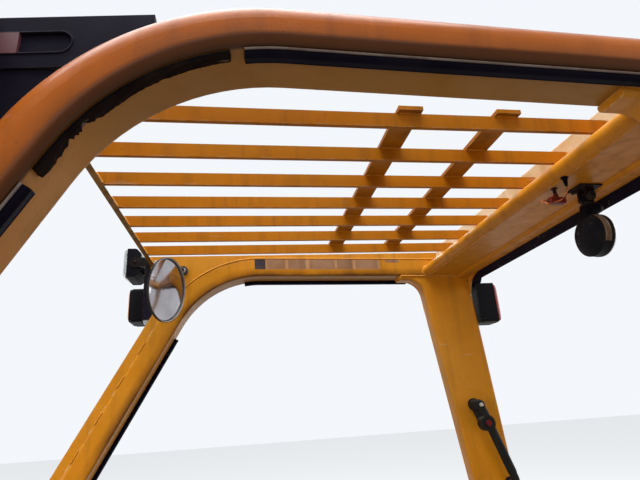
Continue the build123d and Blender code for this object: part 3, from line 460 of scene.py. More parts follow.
for slat in range(1, 8):
    for side in SIDES:
        y, out = box_of(f"roof_slat_{slat}")[0][1] + side * SLAT_HALF, (0, side, 0)
        weld([(MEMBER_FRONT_X, y, SLAT_TOP), (MEMBER_FRONT_X, y, SLAT_UNDER)], out, 0.0036)
        weld([(PLATE_X, y, SLAT_TOP), (plate_low_x, y, SLAT_UNDER)], out, 0.0030)
        for bar in ("front_cross_bar", "rear_cross_bar"):
            low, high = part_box(bar)
            weld([(low.x + 0.003, y, SLAT_TOP), (high.x - 0.003, y, SLAT_TOP)], out, 0.0026)
web_start = along_at(*WEB_FRONT)
web_end = along_at(MEMBER_FRONT_X, rail_under(MEMBER_FRONT_X))
for side in SIDES:
    seam = on_hoop(np.arange(web_start, web_end, 0.002), WELD_OUT, side * WELD_Y)
    weld(seam, ACROSS, 0.0034)
    for start in np.arange(web_start - 0.60, web_start - 0.03, STITCH_STEP):
        stitch = on_hoop(np.linspace(start, start + STITCH, 12), WELD_OUT, side * WELD_Y)
        weld(stitch, ACROSS, 0.0034)
    flare = np.linspace(RAIL_REAR_X + 0.004, FLARE_END_X, 60)
    for y in (PILLAR_IN - 0.0008, PILLAR_OUT + 0.0004):
        weld(xyz(flare, side * y, rail_under(flare) - 0.0006), ACROSS, 0.0036)
    around = np.radians(np.linspace(90, -90, 40))
    joint = xyz(ROLL_X + ROLL_R * np.cos(around), side * JOINT_Y, ROLL_Z + ROLL_R * np.sin(around))
    weld(joint, ACROSS, 0.0038)
    joint = [(ROLL_X, side * JOINT_Y, MEMBER_UNDER), (-0.6150, side * JOINT_Y, MEMBER_UNDER)]
    weld(joint, ACROSS, 0.0040)
    plate_reach = np.array((math.sin(PLATE_LEAN), 0, math.cos(PLATE_LEAN))) * 0.024
    plate_middle = np.array((PLATE_X - 0.0089, side * 0.5115, 1.474))
    weld([plate_middle - plate_reach, plate_middle + plate_reach], ACROSS, 0.0034)
    for low_x, high_x, low_y, high_y in ((LEG_X, LEG_X + HOOP_DEPTH, HOOP_IN, HOOP_OUT),
                                         (PILLAR_REAR_X, PILLAR_FRONT_X, PILLAR_IN, PILLAR_OUT)):
        corners = [(low_x, low_y), (high_x, low_y), (high_x, high_y), (low_x, high_y)]
        for a, b in zip(corners, corners[1:] + corners[:1]):
            weld([(a[0], side * a[1], FOOT_T), (b[0], side * b[1], FOOT_T)], (a[1] != b[1], a[0] != b[0], 0), 0.0045)
weld([(ROLL_X, -JOINT_Y, MEMBER_UNDER), (ROLL_X, JOINT_Y, MEMBER_UNDER)], (1, 0, 0), 0.0016)
build("frame_welds", beads, guard_paint)


# Rear member: folded sheet across the roof's rear, in the same paint, with pale patches of painted sunlight between the
# slats. Its front edge is rolled under their ends, the flat underside ends in a ridged lip, and a thin gusset rounds
# each corner.
def arc(x, z, radius, first, last, count):
    """Points (x, z) on an arc round a middle between two angles in degrees."""
    angle = np.radians(np.linspace(first, last, count))
    return np.stack([x + radius * np.cos(angle), z + radius * np.sin(angle)], -1)


def rounded(x, z, radius, first, last, count):
    """Corner of an outline at (x, z), rounded between two angles in degrees."""
    middle = math.radians((first + last) / 2)
    return arc(x - math.copysign(radius, math.cos(middle)), z - math.copysign(radius, math.sin(middle)), radius,
               first, last, count)


def closed(ring):
    """Rows of points with one more row at each end, all at the middle of the end row, which shuts that end."""
    ends = [np.repeat(ring[[k]].mean(1, keepdims=True), ring.shape[1], 1) for k in (0, -1)]
    return np.concatenate([ends[0], ring, ends[1]])


def carried(outline, stations):
    """Closed outline (x, z) carried across the truck through places y, and shut at both ends."""
    return closed(np.stack([xyz(outline[:, 0], y, outline[:, 1]) for y in stations]))


def repainted(name):
    """Copy of the guard's paint. Returns it, its node tree and shader, the place it is read at, and the three parts
    of that place and of the normal there."""
    paint = guard_paint.copy()
    paint.name = name
    tree = paint.node_tree
    place = put(tree, "TexCoord", {}).outputs["Object"]
    at, normal = (put(tree, "SeparateXYZ", {0: way}).outputs
                  for way in (place, put(tree, "NewGeometry", {}).outputs["Normal"]))
    return paint, tree, tree.nodes["Principled BSDF"], place, at, normal


def sunlit_patch_paint():
    """The guard's paint, with pale patches of painted sunlight above the roll where it faces forward."""
    paint, tree, shader, place, at, normal = repainted("member_paint")
    # Pale patches of painted sunlight on the forward face above the roll.
    share = times(tree, band(tree, at["Z"], 1.4505, 1.4560), band(tree, normal["X"], 0.5, 0.9),
                  band(tree, cloud(tree, place, 13.0, 5.0), 0.15, 0.55), 0.8)
    color = shader.inputs["Base Color"].links[0].from_socket
    fill(shader, {"Base Color": mix(tree, share, color, (0.80, 0.66, 0.44, 1))})
    return paint


MEMBER_TOP, LIP_X, LIP_Z, RIDGE = 1.520, -0.6158, 1.402, 0.0016
lip_ridge = np.stack([np.linspace(LIP_X - 0.004, -0.6560, 24),
                      LIP_Z + RIDGE * np.cos(np.linspace(0, 4 * np.pi, 24)) ** 2], -1)
member_outline = np.vstack([
    rounded(MEMBER_FRONT_X, MEMBER_TOP, 0.006, 90, 0, 8), rounded(MEMBER_FRONT_X, ROLL_Z + ROLL_R, 0.003, 180, 270, 6),
    arc(ROLL_X, ROLL_Z, ROLL_R, 90, -90, 28), rounded(LIP_X, MEMBER_UNDER, 0.003, 90, 180, 6),
    lip_ridge, rounded(RAIL_REAR_X, LIP_Z + 0.0015, 0.004, 270, 180, 6),
    rounded(RAIL_REAR_X, MEMBER_TOP, 0.034, 180, 90, 18)])
crease(build("rear_member_fold", [carried(member_outline, np.linspace(-HOOP_IN, HOOP_IN, 5))], sunlit_patch_paint(),
             replaced=["rear_member"]), 50)
GUSSET_R, GUSSET_DROP, GUSSET_T = 0.070, 0.080, 0.006
gussets = []
for side in SIDES:
    bend = np.radians(np.linspace(0, 90, 24))
    inner_y = HOOP_IN - GUSSET_R + GUSSET_R * np.sin(bend)
    inner_z = MEMBER_UNDER - GUSSET_DROP + GUSSET_R * np.cos(bend)
    share = bend / (np.pi / 4)
    outer_y = HOOP_IN - GUSSET_R * (1 - share).clip(0)
    outer_z = MEMBER_UNDER - GUSSET_DROP * (share - 1).clip(0)
    gussets.append(closed(np.stack([xyz(x, side * y, z) for x, y, z in (
        (RAIL_REAR_X, inner_y, inner_z), (RAIL_REAR_X, outer_y, outer_z),
        (RAIL_REAR_X + GUSSET_T, outer_y, outer_z), (RAIL_REAR_X + GUSSET_T, inner_y, inner_z))], 1)))
crease(build("rear_member_gussets", gussets, guard_paint))


# Hoops: bent channel in the same paint. Outside it is redder and painted darker as shade, with a painted pale sheen on
# top; underneath it is painted a dull mustard as shade, and beside the door seals it is painted dark as shade.
def hoop_shaded_paint():
    """The guard's paint for the hoops: redder and painted darker outside, a painted sheen on top, painted shade
    underneath and by the seals.
    """
    paint, tree, shader, place, at, normal = repainted("hoop_paint")
    color = shader.inputs["Base Color"].links[0].from_socket
    blotches = cloud(tree, place, 9.0, 5.0, 0.6)
    out_from_middle, sideways = (put(tree, "Math", {0: way["Y"]}, operation="ABSOLUTE").outputs[0]
                                 for way in (at, normal))
    # Outer faces: a redder tone and painted shade in one multiply.
    outward = times(tree, band(tree, times(tree, at["Y"], normal["Y"]), 0.05, 0.40), band(tree, at["Z"], 0.55, 1.05))
    color = mix(tree, outward, color, (0.62, 0.41, 0.85, 1), "MULTIPLY")
    # Painted pale sheen on faces that look up.
    painted_top_sheen = times(tree, band(tree, normal["Z"], 0.35, 0.9), band(tree, blotches, 0.25, 0.50), 0.72)
    color = mix(tree, painted_top_sheen, color, (0.30, 0.27, 0.27, 1))
    # Painted shade in dull mustard on faces that look down.
    hoop_underside_shade = times(tree, band(tree, normal["Z"], -0.30, -0.75), 0.80)
    color = mix(tree, hoop_underside_shade, color, (0.245, 0.120, 0.022, 1))
    # Painted dark shade on the lower faces just outside the seals.
    seal_edge_shade = times(tree, band(tree, out_from_middle, 0.592, 0.597), band(tree, normal["Z"], -0.05, -0.35),
                      band(tree, at["Z"], *ABOVE_KNEE), 0.88)
    color = mix(tree, seal_edge_shade, color, (0.022, 0.005, 0.003, 1))
    # Painted shade in a dark band beside the seals, broken up in blotches.
    seal_shade_share = times(tree, hoop_seal_shade(tree), band(tree, blotches, 0.10, 0.62), band(tree, sideways, 0.30, 0.75))
    fill(shader, {"Base Color": mix(tree, seal_shade_share, color, (0.085, 0.028, 0.007, 1)), "Specular IOR Level": 0.08})
    return paint


dress(hoop_shaded_paint(), *pair("hoop"))


# Bolts: zinc-plated hexagon heads on washers. Four hold each foot to the truck, the rest hold the
# lamp brackets, the covers and the mirror's arm.
def turned(profile, place, axis, count=36):
    """Turned piece: a ring of points round an axis for each profile row (along, radius, flats). With flats at 1 the
    radius follows a hexagon: it is divided by the cosine of the angle from the middle of the nearest flat."""
    axis = unit(np.asarray(axis, float))
    aside = unit(np.cross(axis, (0, 0, 1) if abs(axis[2]) < 0.9 else ACROSS))
    upright = np.cross(axis, aside)
    rows = np.array([(*row, 0)[:3] for row in profile], float)
    hexagon = 1 / np.cos(np.mod(full_turn(count), np.pi / 3) - np.pi / 6)
    radius = rows[:, 1:2] * (1 + rows[:, 2:3] * (hexagon - 1))
    return np.asarray(place, float) + rows[:, :1, None] * axis + radius[..., None] * ring_of(count, aside, upright)


def hex_bolt(place, axis, size):
    """Hexagon head of a bolt of that thread size, with its washer, standing on a face."""
    shape = ((0, 0), (0, 1.02), (0.112, 1.02), (0.16, 0.96), (0.16, 0.76, 1), (0.7052, 0.76, 1), (0.82, 0.70),
             (0.82, 0.42), (0.7626, 0.36), (0.7626, 0))
    return turned([(along * size, radius * size, *flats) for along, radius, *flats in shape], place, axis)


def round_screw(place, axis, radius):
    """Domed screw head with a round recess, standing on a face."""
    shape = ((0, 0), (0, 1), (0.25, 0.98), (0.55, 0.72), (0.66, 0.42), (0.30, 0.34), (0.28, 0))
    return turned([(along * radius, out * radius) for along, out in shape], place, axis, 20)


zinc = finish("bolt_zinc", (0.46, 0.46, 0.44), (0.36, 0.33, 0.27), (0.10, 0.05, 0.02), (0.55, 0.3, 0), 0.28, 0.62,
              0.0003, patch_scale=30.0, metal=0.9)
FOOT_MIDDLES, BOLT_AHEAD, BOLT_OUT = ((0.71075, 0.560), (-0.71075, 0.540)), 0.071, 0.040
foot_bolts = [hex_bolt((x + ahead * BOLT_AHEAD, side * (y + out * BOLT_OUT), FOOT_T), (0, 0, 1), 0.016)
              for x, y in FOOT_MIDDLES for ahead in (-1, 1) for out in (-1, 1) for side in SIDES]
crease(build("foot_bolts", foot_bolts, zinc))


# Roof slats, cross bars and front plate: flat bar, painted before the roof was welded in. Their paint
# is a deeper orange, painted browner underneath as shade and dirt, and rubbed pale along the edges.
slat_paint = finish("slat_paint", (0.50, 0.158, 0.003), (0.46, 0.165, 0.008), (0.10, 0.04, 0.010), (0.60, 0.3, 0.6),
                    0.30, 0.66, 0.0006, patch_scale=2.6, worn=(0.46, 0.36, 0.22))
dress(slat_paint, *(f"roof_slat_{i}" for i in range(1, 8)), "front_cross_bar", "rear_cross_bar")
# The front plate's darker brown coat is painted shade, and its pale edges are partly wear, partly painted highlight.
shaded_plate_paint = finish("shaded_plate_paint", (0.42, 0.22, 0.05), (0.30, 0.19, 0.09), (0.06, 0.035, 0.02), (0.8, 0.5, 0.9),
                     0.42, 0.75, 0.0008, patch_scale=9.0, worn=(0.62, 0.50, 0.30))
dress(shaded_plate_paint, "front_plate")


# Rear cover, corner covers: black moulded plastic over the rear member and outside the roof webs. The
# rear one hangs on domed screws, the corner ones are clipped on, with a rimmed recess for a marker.
cover_plastic = finish("cover_plastic", (0.006, 0.005, 0.012), (0.012, 0.010, 0.020), (0.022, 0.018, 0.016),
                       (0.3, 0.3, 0.3), 0.40, 0.72, 0.0005, pits=900.0, patch_scale=5.0, worn=(0.035, 0.032, 0.040),
                       specular=0.035)
dress(cover_plastic, *pair("corner_cover"))
cover_low, cover_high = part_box("rear_cover")
UNDER_RISE, FLAT_FROM, RISE_BY = 0.024, 0.508, 0.018
cover_ys = np.array([cover_low.y, -FLAT_FROM, RISE_BY - FLAT_FROM, FLAT_FROM - RISE_BY, FLAT_FROM, cover_high.y])
cover_rows = []
for y, rise in zip(cover_ys, (0, 0, UNDER_RISE, UNDER_RISE, 0, 0)):
    section = np.vstack([
        rounded(cover_high.x, cover_low.z, 0.003, 0, -90, 5),
        rounded(cover_low.x, cover_low.z + rise, 0.012, 270 - 60 * rise, 180, 8),
        rounded(cover_low.x, cover_high.z, 0.016, 180, 90, 10), rounded(cover_high.x, cover_high.z, 0.002, 90, 0, 4)])
    cover_rows.append(xyz(section[:, 0], y, section[:, 1]))
crease(build("rear_cover_shell", [closed(np.stack(cover_rows))], cover_plastic,
             replaced=["rear_cover"]), 40)
screws = [round_screw((cover_low.x, y, z), REARWARD, 0.007) for y in np.linspace(-0.56, 0.56, 7)
          for z in (cover_high.z - 0.035, cover_low.z + 0.044)]
build("cover_screws", screws, zinc)
joint_x, joint_low, joint_high = cover_low.x - 0.0004, cover_low.z + 0.040, cover_high.z - 0.018
joints = [weld_bead(np.linspace((joint_x, y, joint_low), (joint_x, y, joint_high), 24), ACROSS, 0.0018)
          for y in (-0.30, 0.30)]
build("rear_cover_joints", joints, cover_plastic)

COVER_REAR, COVER_OUT, COVER_SLOPE = 0.26625, 0.558, math.atan2(0.024, 0.208)
RECESS_FRONT_X, RECESS_REAR_X, RECESS_DEPTH, RIM_R = 0.46525, 0.36825, 0.004, 0.0014


def on_cover(x, z, proud, side):
    """Point on a corner cover's slanting outer face, standing proud of it."""
    return xyz(x, side * (COVER_OUT - (x - COVER_REAR) * math.tan(COVER_SLOPE) + proud), z)


recess_rims, recess_ends = [], []
for side, hand in zip(SIDES, HANDS):
    low, high = (place.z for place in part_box(hand + "marker_lens"))
    radius = (high - low) / 2
    middle_x, middle_z = RECESS_REAR_X + radius, low + radius
    x, z = arc(middle_x, middle_z, radius, 90, 270, 30).T
    x = np.r_[np.linspace(RECESS_FRONT_X, x[0], 40), x, np.linspace(x[0], RECESS_FRONT_X, 40)]
    z = np.r_[np.full(40, high), z, np.full(40, low)]
    turn = full_turn(8)[:, None]
    way = unit(np.gradient(np.stack([x, z], -1), axis=0))
    rim = on_cover(x + RIM_R * way[:, 1] * np.cos(turn), z - RIM_R * way[:, 0] * np.cos(turn),
                   0.0002 + RIM_R * np.sin(turn), side)
    recess_rims.append(closed(rim.transpose(1, 0, 2)))
    round_x, round_z = x[40:70], z[40:70]
    reach = np.maximum(np.abs(round_x - middle_x), np.abs(round_z - middle_z)) / radius
    square_x, square_z = middle_x + (round_x - middle_x) / reach, middle_z + (round_z - middle_z) / reach
    recess_ends.append(np.stack([
        on_cover(round_x, round_z, -RECESS_DEPTH, side), on_cover(round_x, round_z, 0.0, side),
        on_cover(square_x, square_z, 0.0, side), on_cover(square_x, square_z, -RECESS_DEPTH, side)]))
build("corner_cover_rims", recess_rims, cover_plastic)
crease(build("corner_cover_recess_ends", recess_ends, cover_plastic, wrap=False))


# Door seals: black extruded rubber with three ribs, pressed on under the rail and down the raked
# pillar of each hoop, and bedded in a thin line of pale sealant on the outer side.
SEAL_Y, SEAL_HALF_WIDTH, SEAL_DEPTH = 0.5865, 0.0095, 0.012


def hoop_strip(start, end, profile_y, profile_out, step=0.003):
    """Closed profile (y, out) carried along the hoop's inner edge, each end drawn to a point in its own plane."""
    along = np.linspace(start, end, int(abs(end - start) / step) + 2)
    return closed(on_hoop(along[:, None], profile_out, profile_y))


# The rubber's faint blue tint is a painted reflection of the sky.
seal_rubber = finish("seal_rubber", (0.0012, 0.0010, 0.0042), (0.004, 0.003, 0.008), (0.012, 0.009, 0.009),
                     (0.2, 0.15, 0), 0.48, 0.80, 0.0004, pits=1400.0, patch_scale=12.0, specular=0.02)
sealant = finish("pale_sealant", (0.24, 0.20, 0.19), (0.18, 0.14, 0.13), (0.07, 0.05, 0.04), (0.7, 0.2, 0),
                 0.55, 0.80, 0.0005, pits=500.0, patch_scale=25.0)
half_turn = np.linspace(0, np.pi, 44)
bulge = np.sin(half_turn).clip(0) ** 0.5 * (1 - 0.10 * (0.5 + 0.5 * np.cos(7 * half_turn)))
seal_profile = (np.sign(np.cos(half_turn)) * np.abs(np.cos(half_turn)) ** 0.5 * SEAL_HALF_WIDTH, -bulge * SEAL_DEPTH)
rail_span = (along_at(0.15125, RAIL_Z), along_at(-0.44575, rail_under(-0.44575)))
pillar_span = (along_at(0.6485, 0.752), web_start - 0.044)
corner = np.array([(0.0, 0.0), (0.0022, -0.0004), (0.0034, -0.0022), (0.0016, -0.0036), (-0.0006, -0.0030)])
sealant_lines = []
for side, hand in zip(SIDES, HANDS):
    for node, span in (("rail_seal", rail_span), ("pillar_seal", pillar_span)):
        strip = hoop_strip(*span, side * (SEAL_Y + seal_profile[0]), seal_profile[1])
        crease(build(hand + node + "_rubber", [strip], seal_rubber, replaced=[hand + node]), 50)
        sealant_y = side * (SEAL_Y + SEAL_HALF_WIDTH - 0.0006 + corner[:, 0])
        sealant_lines.append(hoop_strip(*span, sealant_y, corner[:, 1], 0.006))
build("seal_sealant", sealant_lines, sealant)


# Corner foam on the left hoop: soft black strip glued round the bend between the two seals, with clean
# upper edge and square ends. Lower down its free edge is torn, and pale glue shows beside the tear.
foam_rubber = finish("corner_foam", (0.0030, 0.0022, 0.0030), (0.008, 0.006, 0.006), (0.030, 0.016, 0.008),
                     (0.4, 0.3, 0), 0.75, 0.95, 0.0012, pits=420.0, patch_scale=30.0, specular=0.02)
FOAM_START, FOAM_END = 1.312, 1.584
foam_along = np.linspace(FOAM_START, FOAM_END, 320)
chance = np.random.default_rng(11)
waves, phases = chance.uniform(60, 620, 14), chance.uniform(0, 6.28, 14)
fray = np.abs(np.sin(foam_along[:, None] * waves + phases).mean(1))
TEAR_MIDDLE, TEAR_HALF, STEP_FROM, STEP_LONG = 1.377, 0.025, 1.440, 0.012
torn = np.exp(-((foam_along - TEAR_MIDDLE) / TEAR_HALF) ** 6)
step = ((foam_along - STEP_FROM) / STEP_LONG).clip(0, 1)
inside = 0.0010 + 0.0005 * fray + (0.003 + 0.026 * fray) * torn + 0.0022 * step
outside = 0.0004 + 0.0008 * np.roll(fray, 40)
thick = 0.0078 - 0.0030 * fray - 0.003 * torn * fray ** 0.5
turn = np.linspace(0, np.pi, 22)
across = 0.5 + 0.5 * np.sign(np.cos(turn)) * np.abs(np.cos(turn)) ** 0.4
foam_y = (SEAL_Y - SEAL_HALF_WIDTH + inside)[:, None] + (2 * SEAL_HALF_WIDTH - inside - outside)[:, None] * across
foam_out = -thick[:, None] * (np.sin(turn).clip(0) ** 0.4 * (1 + 0.06 * np.sin(9 * turn + foam_along[:, None] * 170)))
foam = closed(on_hoop(foam_along[:, None], foam_out, foam_y))
build("left_corner_foam_strip", [foam], foam_rubber, replaced=["left_corner_foam"])
glue = finish("old_glue", (0.36, 0.20, 0.26), (0.28, 0.17, 0.17), (0.10, 0.05, 0.04), (0.7, 0.2, 0), 0.4, 0.7, 0.0006,
              pits=500.0, patch_scale=40.0)
glue_bits = []
for number in range(18):
    where, beside = 1.353 + 0.048 * chance.random(), 0.001 + 0.009 * chance.random() ** 1.5
    long, wide = chance.uniform(0.0016, 0.0044), chance.uniform(0.0008, 0.0018)
    way, ring = np.linspace(-1, 1, 7)[:, None], full_turn(8)
    size = np.sqrt(1 - way ** 2)
    glue_bits.append(on_hoop(where + long * way + 0 * ring, 0.0002 - 0.0013 * size * np.sin(ring).clip(0),
                             SEAL_Y - SEAL_HALF_WIDTH + beside + wide * size * np.cos(ring)))
build("foam_glue_bits", glue_bits, glue)


# Label strip on the inner face of the right rail: one dark square and a pale vinyl strip with a row of
# duller panels, all bare, stuck on the flat and a little way round the edge above it.
vinyl = finish("pale_vinyl", (0.34, 0.19, 0.11), (0.27, 0.14, 0.07), (0.13, 0.06, 0.03), (0.8, 0.3, 0), 0.35, 0.65,
               0.0002, pits=300.0, patch_scale=14.0)
strip_vinyl = finish("strip_vinyl", (0.50, 0.28, 0.15), (0.42, 0.22, 0.10), (0.20, 0.09, 0.03), (0.6, 0.3, 0), 0.35,
                     0.65, 0.0002, pits=300.0, patch_scale=14.0)
dark_vinyl = finish("dark_vinyl", (0.030, 0.026, 0.038), (0.07, 0.055, 0.06), (0.16, 0.09, 0.05), (0.5, 0.3, 0), 0.35,
                    0.65, 0.0002, pits=300.0, patch_scale=20.0)
FLAT_UP_TO, EDGE_R = 0.056, 0.013
LABEL_LOW, LABEL_HIGH, STUCK_ON, ON_TOP = 0.0245, 0.0645, 0.0002, 0.0004


def rail_label(front_x, rear_x, low, high, proud):
    """Sheet on the right rail's inner face: flat up to 56 mm above the rail's underside, then round its 13 mm edge."""
    across, up = np.meshgrid(np.linspace(front_x, rear_x, 12), np.linspace(low, high, 16), indexing="ij")
    angle = ((up - FLAT_UP_TO) / EDGE_R).clip(0)
    radius = EDGE_R + proud
    return xyz(across, -(HOOP_IN + EDGE_R - radius * np.cos(angle)),
               rail_under(across) + np.minimum(up, FLAT_UP_TO) + radius * np.sin(angle))


PANELS = ((0.0739, 0.0093), (-0.0010, -0.0624), (-0.0751, -0.1654), (-0.1738, -0.2304), (-0.2412, -0.3219))
panels = [rail_label(a, b, 0.026, 0.063, ON_TOP) for a, b in PANELS]
panels.append(rail_label(-0.3523, -0.4037, 0.050, 0.060, ON_TOP))
strip = [rail_label(0.0770, -0.3300, LABEL_LOW, LABEL_HIGH, STUCK_ON)]
square = [rail_label(0.1150, 0.0780, LABEL_LOW, LABEL_HIGH, ON_TOP)]
for name, sheets, skin in (("label_panels", panels, vinyl), ("label_strip", strip, strip_vinyl),
                           ("label_dark_square", square, dark_vinyl)):
    build(name, sheets, skin, wrap=False)


# Lenses: moulded shells with a rounded rim and ribs inside, clear, amber or red. They close the front
# lamps, the tail lamps and the marker recess of the corner covers.
def tinted(name, color, roughness, transmission):
    """Moulded clear plastic: dust dulls it in patches, and the mould's fine waves are its relief."""
    faded = [0.85 * c + 0.03 for c in color]
    made_of, tree, shader, skin = coated(name, color, faded, (0.12, 0.09, 0.07), 0.12, 0.3, 11.0)
    rough = put(tree, "MapRange", {0: skin["Dull"], 3: roughness, 4: roughness + 0.3})
    bump = put(tree, "Bump", {"Height": skin["Relief"], "Strength": 0.3, "Distance": 0.0003})
    fill(shader, {"Base Color": skin["Color"], "Roughness": rough.outputs[0], "Normal": bump.outputs[0],
                  "Transmission Weight": transmission, "IOR": 1.49})
    return made_of


def wall(sheet, thickness, offset=-1):
    """Gives a sheet a wall."""
    solid = sheet.modifiers.new("wall", "SOLIDIFY")
    solid.thickness, solid.offset = thickness, offset


def lens_shell(node, material, body, ribs, rib_angle=0.0, facing=1):
    """Lens in a node's box. Its depth is one minus the tenth power of each way from the middle, to the power 0.3,
    and falls by a cosine across the ribs. The corners are drawn in by a product of the two ways."""
    middle, half = box_of(node)
    spread = np.sin(np.linspace(-np.pi / 2, np.pi / 2, 60))
    u, v = np.meshgrid(spread, spread, indexing="ij")
    rim = ((1 - u ** 10) * (1 - v ** 10)).clip(0) ** 0.3
    stripe = np.cos(np.pi * ribs * (u * math.cos(rib_angle) + v * math.sin(rib_angle)))
    depth = 2 * half[0] * rim * (0.94 + 0.06 * stripe * (rim > 0.9))
    grid = xyz(middle[0] + facing * (depth - half[0]), middle[1] + half[1] * u * np.sqrt(1 - 0.05 * v ** 4),
               middle[2] + half[2] * v * np.sqrt(1 - 0.05 * u ** 4))
    wall(build(node + "_shell", [grid], material, body, [node], wrap=False), 0.0022, -facing)


def squared(power, count):
    """Ring of points across and up on a rounded square: the powers of the two ways add up to one."""
    ways = np.stack([np.cos(full_turn(count)), np.sin(full_turn(count))])
    return ways * (np.abs(ways) ** power).sum(0) ** (-1 / power)


red_lens = tinted("red_lens", (0.34, 0.006, 0.008), 0.12, 0.15)
amber_lens = tinted("amber_lens", (0.86, 0.27, 0.008), 0.10, 0.35)
clear_lens = tinted("clear_lens", (0.86, 0.88, 0.88), 0.05, 0.95)
marker_red = tinted("marker_lens", (0.135, 0.036, 0.043), 0.40, 0.05)
dress(marker_red, *pair("marker_lens"))
BEZEL = ((-0.001, 0.0020), (0.0075, 0.0020), (0.0085, 0.0012), (0.0085, -0.0004), (0.0075, -0.0012), (-0.001, -0.0012),
         (-0.001, 0.0020))
bezels = []
for hand in HANDS:
    lens_shell(hand + "tail_lamp_lens", red_lens, "guard", 11, math.pi / 2, facing=-1)
    lens_shell(hand + "headlamp_lens", clear_lens, hand + "headlamp", 13)
    lens_shell(hand + "turn_lamp_lens", amber_lens, "guard", 15, math.pi / 4)
    middle, half = box_of(hand + "turn_lamp_lens")
    across, up = squared(10, 96)
    bezels.append(np.stack([xyz(middle[0] - half[0] + ahead, middle[1] + (half[1] + grow) * across,
                                middle[2] + (half[2] + grow) * up) for ahead, grow in BEZEL]))


# Lamp housings and brackets: black moulded housings, black painted steel brackets with bright bolts.
# Behind each front lens a pressed bright bowl carries a bulb.
housing_black = finish("lamp_housing", (0.0035, 0.0035, 0.006), (0.008, 0.008, 0.010), (0.020, 0.016, 0.013),
                       (0.3, 0.25, 0.3), 0.38, 0.70, 0.0004, pits=1100.0, patch_scale=9.0,
                       worn=(0.035, 0.035, 0.035), specular=0.035)
bracket_paint = finish("bracket_paint", (0.005, 0.005, 0.007), (0.010, 0.010, 0.011), (0.045, 0.020, 0.008),
                       (0.4, 0.25, 0.6), 0.34, 0.66, 0.0004, patch_scale=9.0, worn=(0.12, 0.09, 0.07), specular=0.035)
dress(housing_black, *pair("headlamp_body", "turn_lamp_body", "tail_lamp_body"))
dress(bracket_paint, *pair("headlamp_bracket"), "work_lamp_bracket")
crease(build("turn_lamp_bezels", bezels, housing_black))
bright_bowl = finish("bright_bowl", (0.86, 0.87, 0.88), (0.78, 0.78, 0.78), (0.30, 0.26, 0.20), (0.1, 0.1, 0), 0.06,
                     0.25, 0.0001, patch_scale=20.0, metal=1.0)
bulb_glass = tinted("bulb_glass", (0.95, 0.93, 0.88), 0.06, 0.6)


def lamp_bowl(name, opening, half_y, half_z, depth, body):
    """Bright bowl and its bulb. The bowl's depth falls with the square of the way out, its opening is a rounded square
    (a fourth power curve), and shallow flutes run out from the middle by a cosine."""
    opening = np.asarray(opening)
    way = np.linspace(0, 1, 22)[:, None]
    flutes = np.cos(18 * full_turn(72))
    across, up = squared(4, 72)
    offset = xyz(-depth * (1 - way ** 2) + 0.0006 * flutes * way, way * half_y * across, way * half_z * up)
    wall(build(name + "_bowl", [opening + offset], bright_bowl, body), 0.0008)
    bulb = turned([(0, 0), (0, 0.008), (0.005, 0.008), (0.006, 0.0055), (0.014, 0.0058), (0.018, 0.0045),
                   (0.0195, 0.002), (0.020, 0)], opening - (depth - 0.001, 0, 0), (1, 0, 0), 20)
    build(name + "_bulb", [bulb], bulb_glass, body)


LAMP_Y, HEADLAMP_Z, TURN_LAMP_Z = 0.586, 1.486, 1.342
bracket_bolts, pivot_screws = [], []
for side, hand in zip(SIDES, HANDS):
    y = side * LAMP_Y
    lamp_bowl(hand + "headlamp", (0.5395, y, HEADLAMP_Z), 0.0465, 0.0405, 0.027, hand + "headlamp")
    lamp_bowl(hand + "turn_lamp", (0.5145, y, TURN_LAMP_Z), 0.0465, 0.0455, 0.021, "guard")
    pivot_screws += [round_screw((0.51425, y + ear * 0.062, HEADLAMP_Z), (0, ear, 0), 0.0058) for ear in SIDES]
    bracket_bolts += [hex_bolt((x, side * 0.5122, 1.4795), (0, -side, 0), 0.007) for x in (0.405, 0.445)]
    bracket_bolts += [hex_bolt((0.47425, side * y, z), REARWARD, 0.007) for y, z in ((0.552, 1.372), (0.620, 1.312))]
crease(build("bracket_bolts", bracket_bolts, zinc))
build("headlamp_pivot_screws", pivot_screws, bracket_paint)


# Work lamp: a black casting with a ribbed domed back, which hangs by its neck under the rear member and
# lights the ground behind. A bright bowl and a bulb sit behind a clear lens, held by a thin bright ring.
LAMP_MIDDLE, LAMP_PIVOT = np.array((-0.573, 0.2285, 1.2998)), np.array((-0.58775, 0.2285, 1.388))
LAMP_R, DOME_DEEP, BOWL_R, LENS_R = 0.0447, 0.019, 0.0408, 0.0416
LAMP_NECK = (
    (1.3990, 0, 0.0008, 0.0070), (1.3983, 0, 0.0040, 0.0074), (1.3960, 0, 0.0076, 0.0078), (1.3925, 0, 0.0100, 0.0078),
    (1.3880, 0, 0.0110, 0.0078), (1.3775, 0, 0.0112, 0.0078), (1.3740, 0, 0.0122, 0.0092),
    (1.3710, -0.001, 0.0162, 0.0132), (1.3620, -0.003, 0.0205, 0.0150), (1.3520, -0.001, 0.0205, 0.0160),
    (1.3440, 0.0090, 0.0155, 0.0160), (1.3250, 0.0110, 0.0145, 0.0160))
ribbed_back = [(-0.003 - DOME_DEEP * (1 - w ** 2.4) + 0.0007 * math.sin(w * 44) ** 2 * (w > 0.28), LAMP_R * w)
               for w in np.linspace(0, 1, 60)]
bead_and_seat = [(0.0135, LAMP_R), (0.0140, LAMP_R + 0.0008), (0.0195, LAMP_R + 0.0008), (0.0200, LAMP_R),
                 (0.0200, 0.0422), (0.0180, 0.0412), (0.0020, 0.0250), (0.0010, 0.0)]
casting = turned(ribbed_back + bead_and_seat, LAMP_MIDDLE, REARWARD, 96)
crease(build("work_lamp_casting", [casting], housing_black, "work_lamp", ["work_lamp_body"]), 40)
across, up = squared(6, 40)
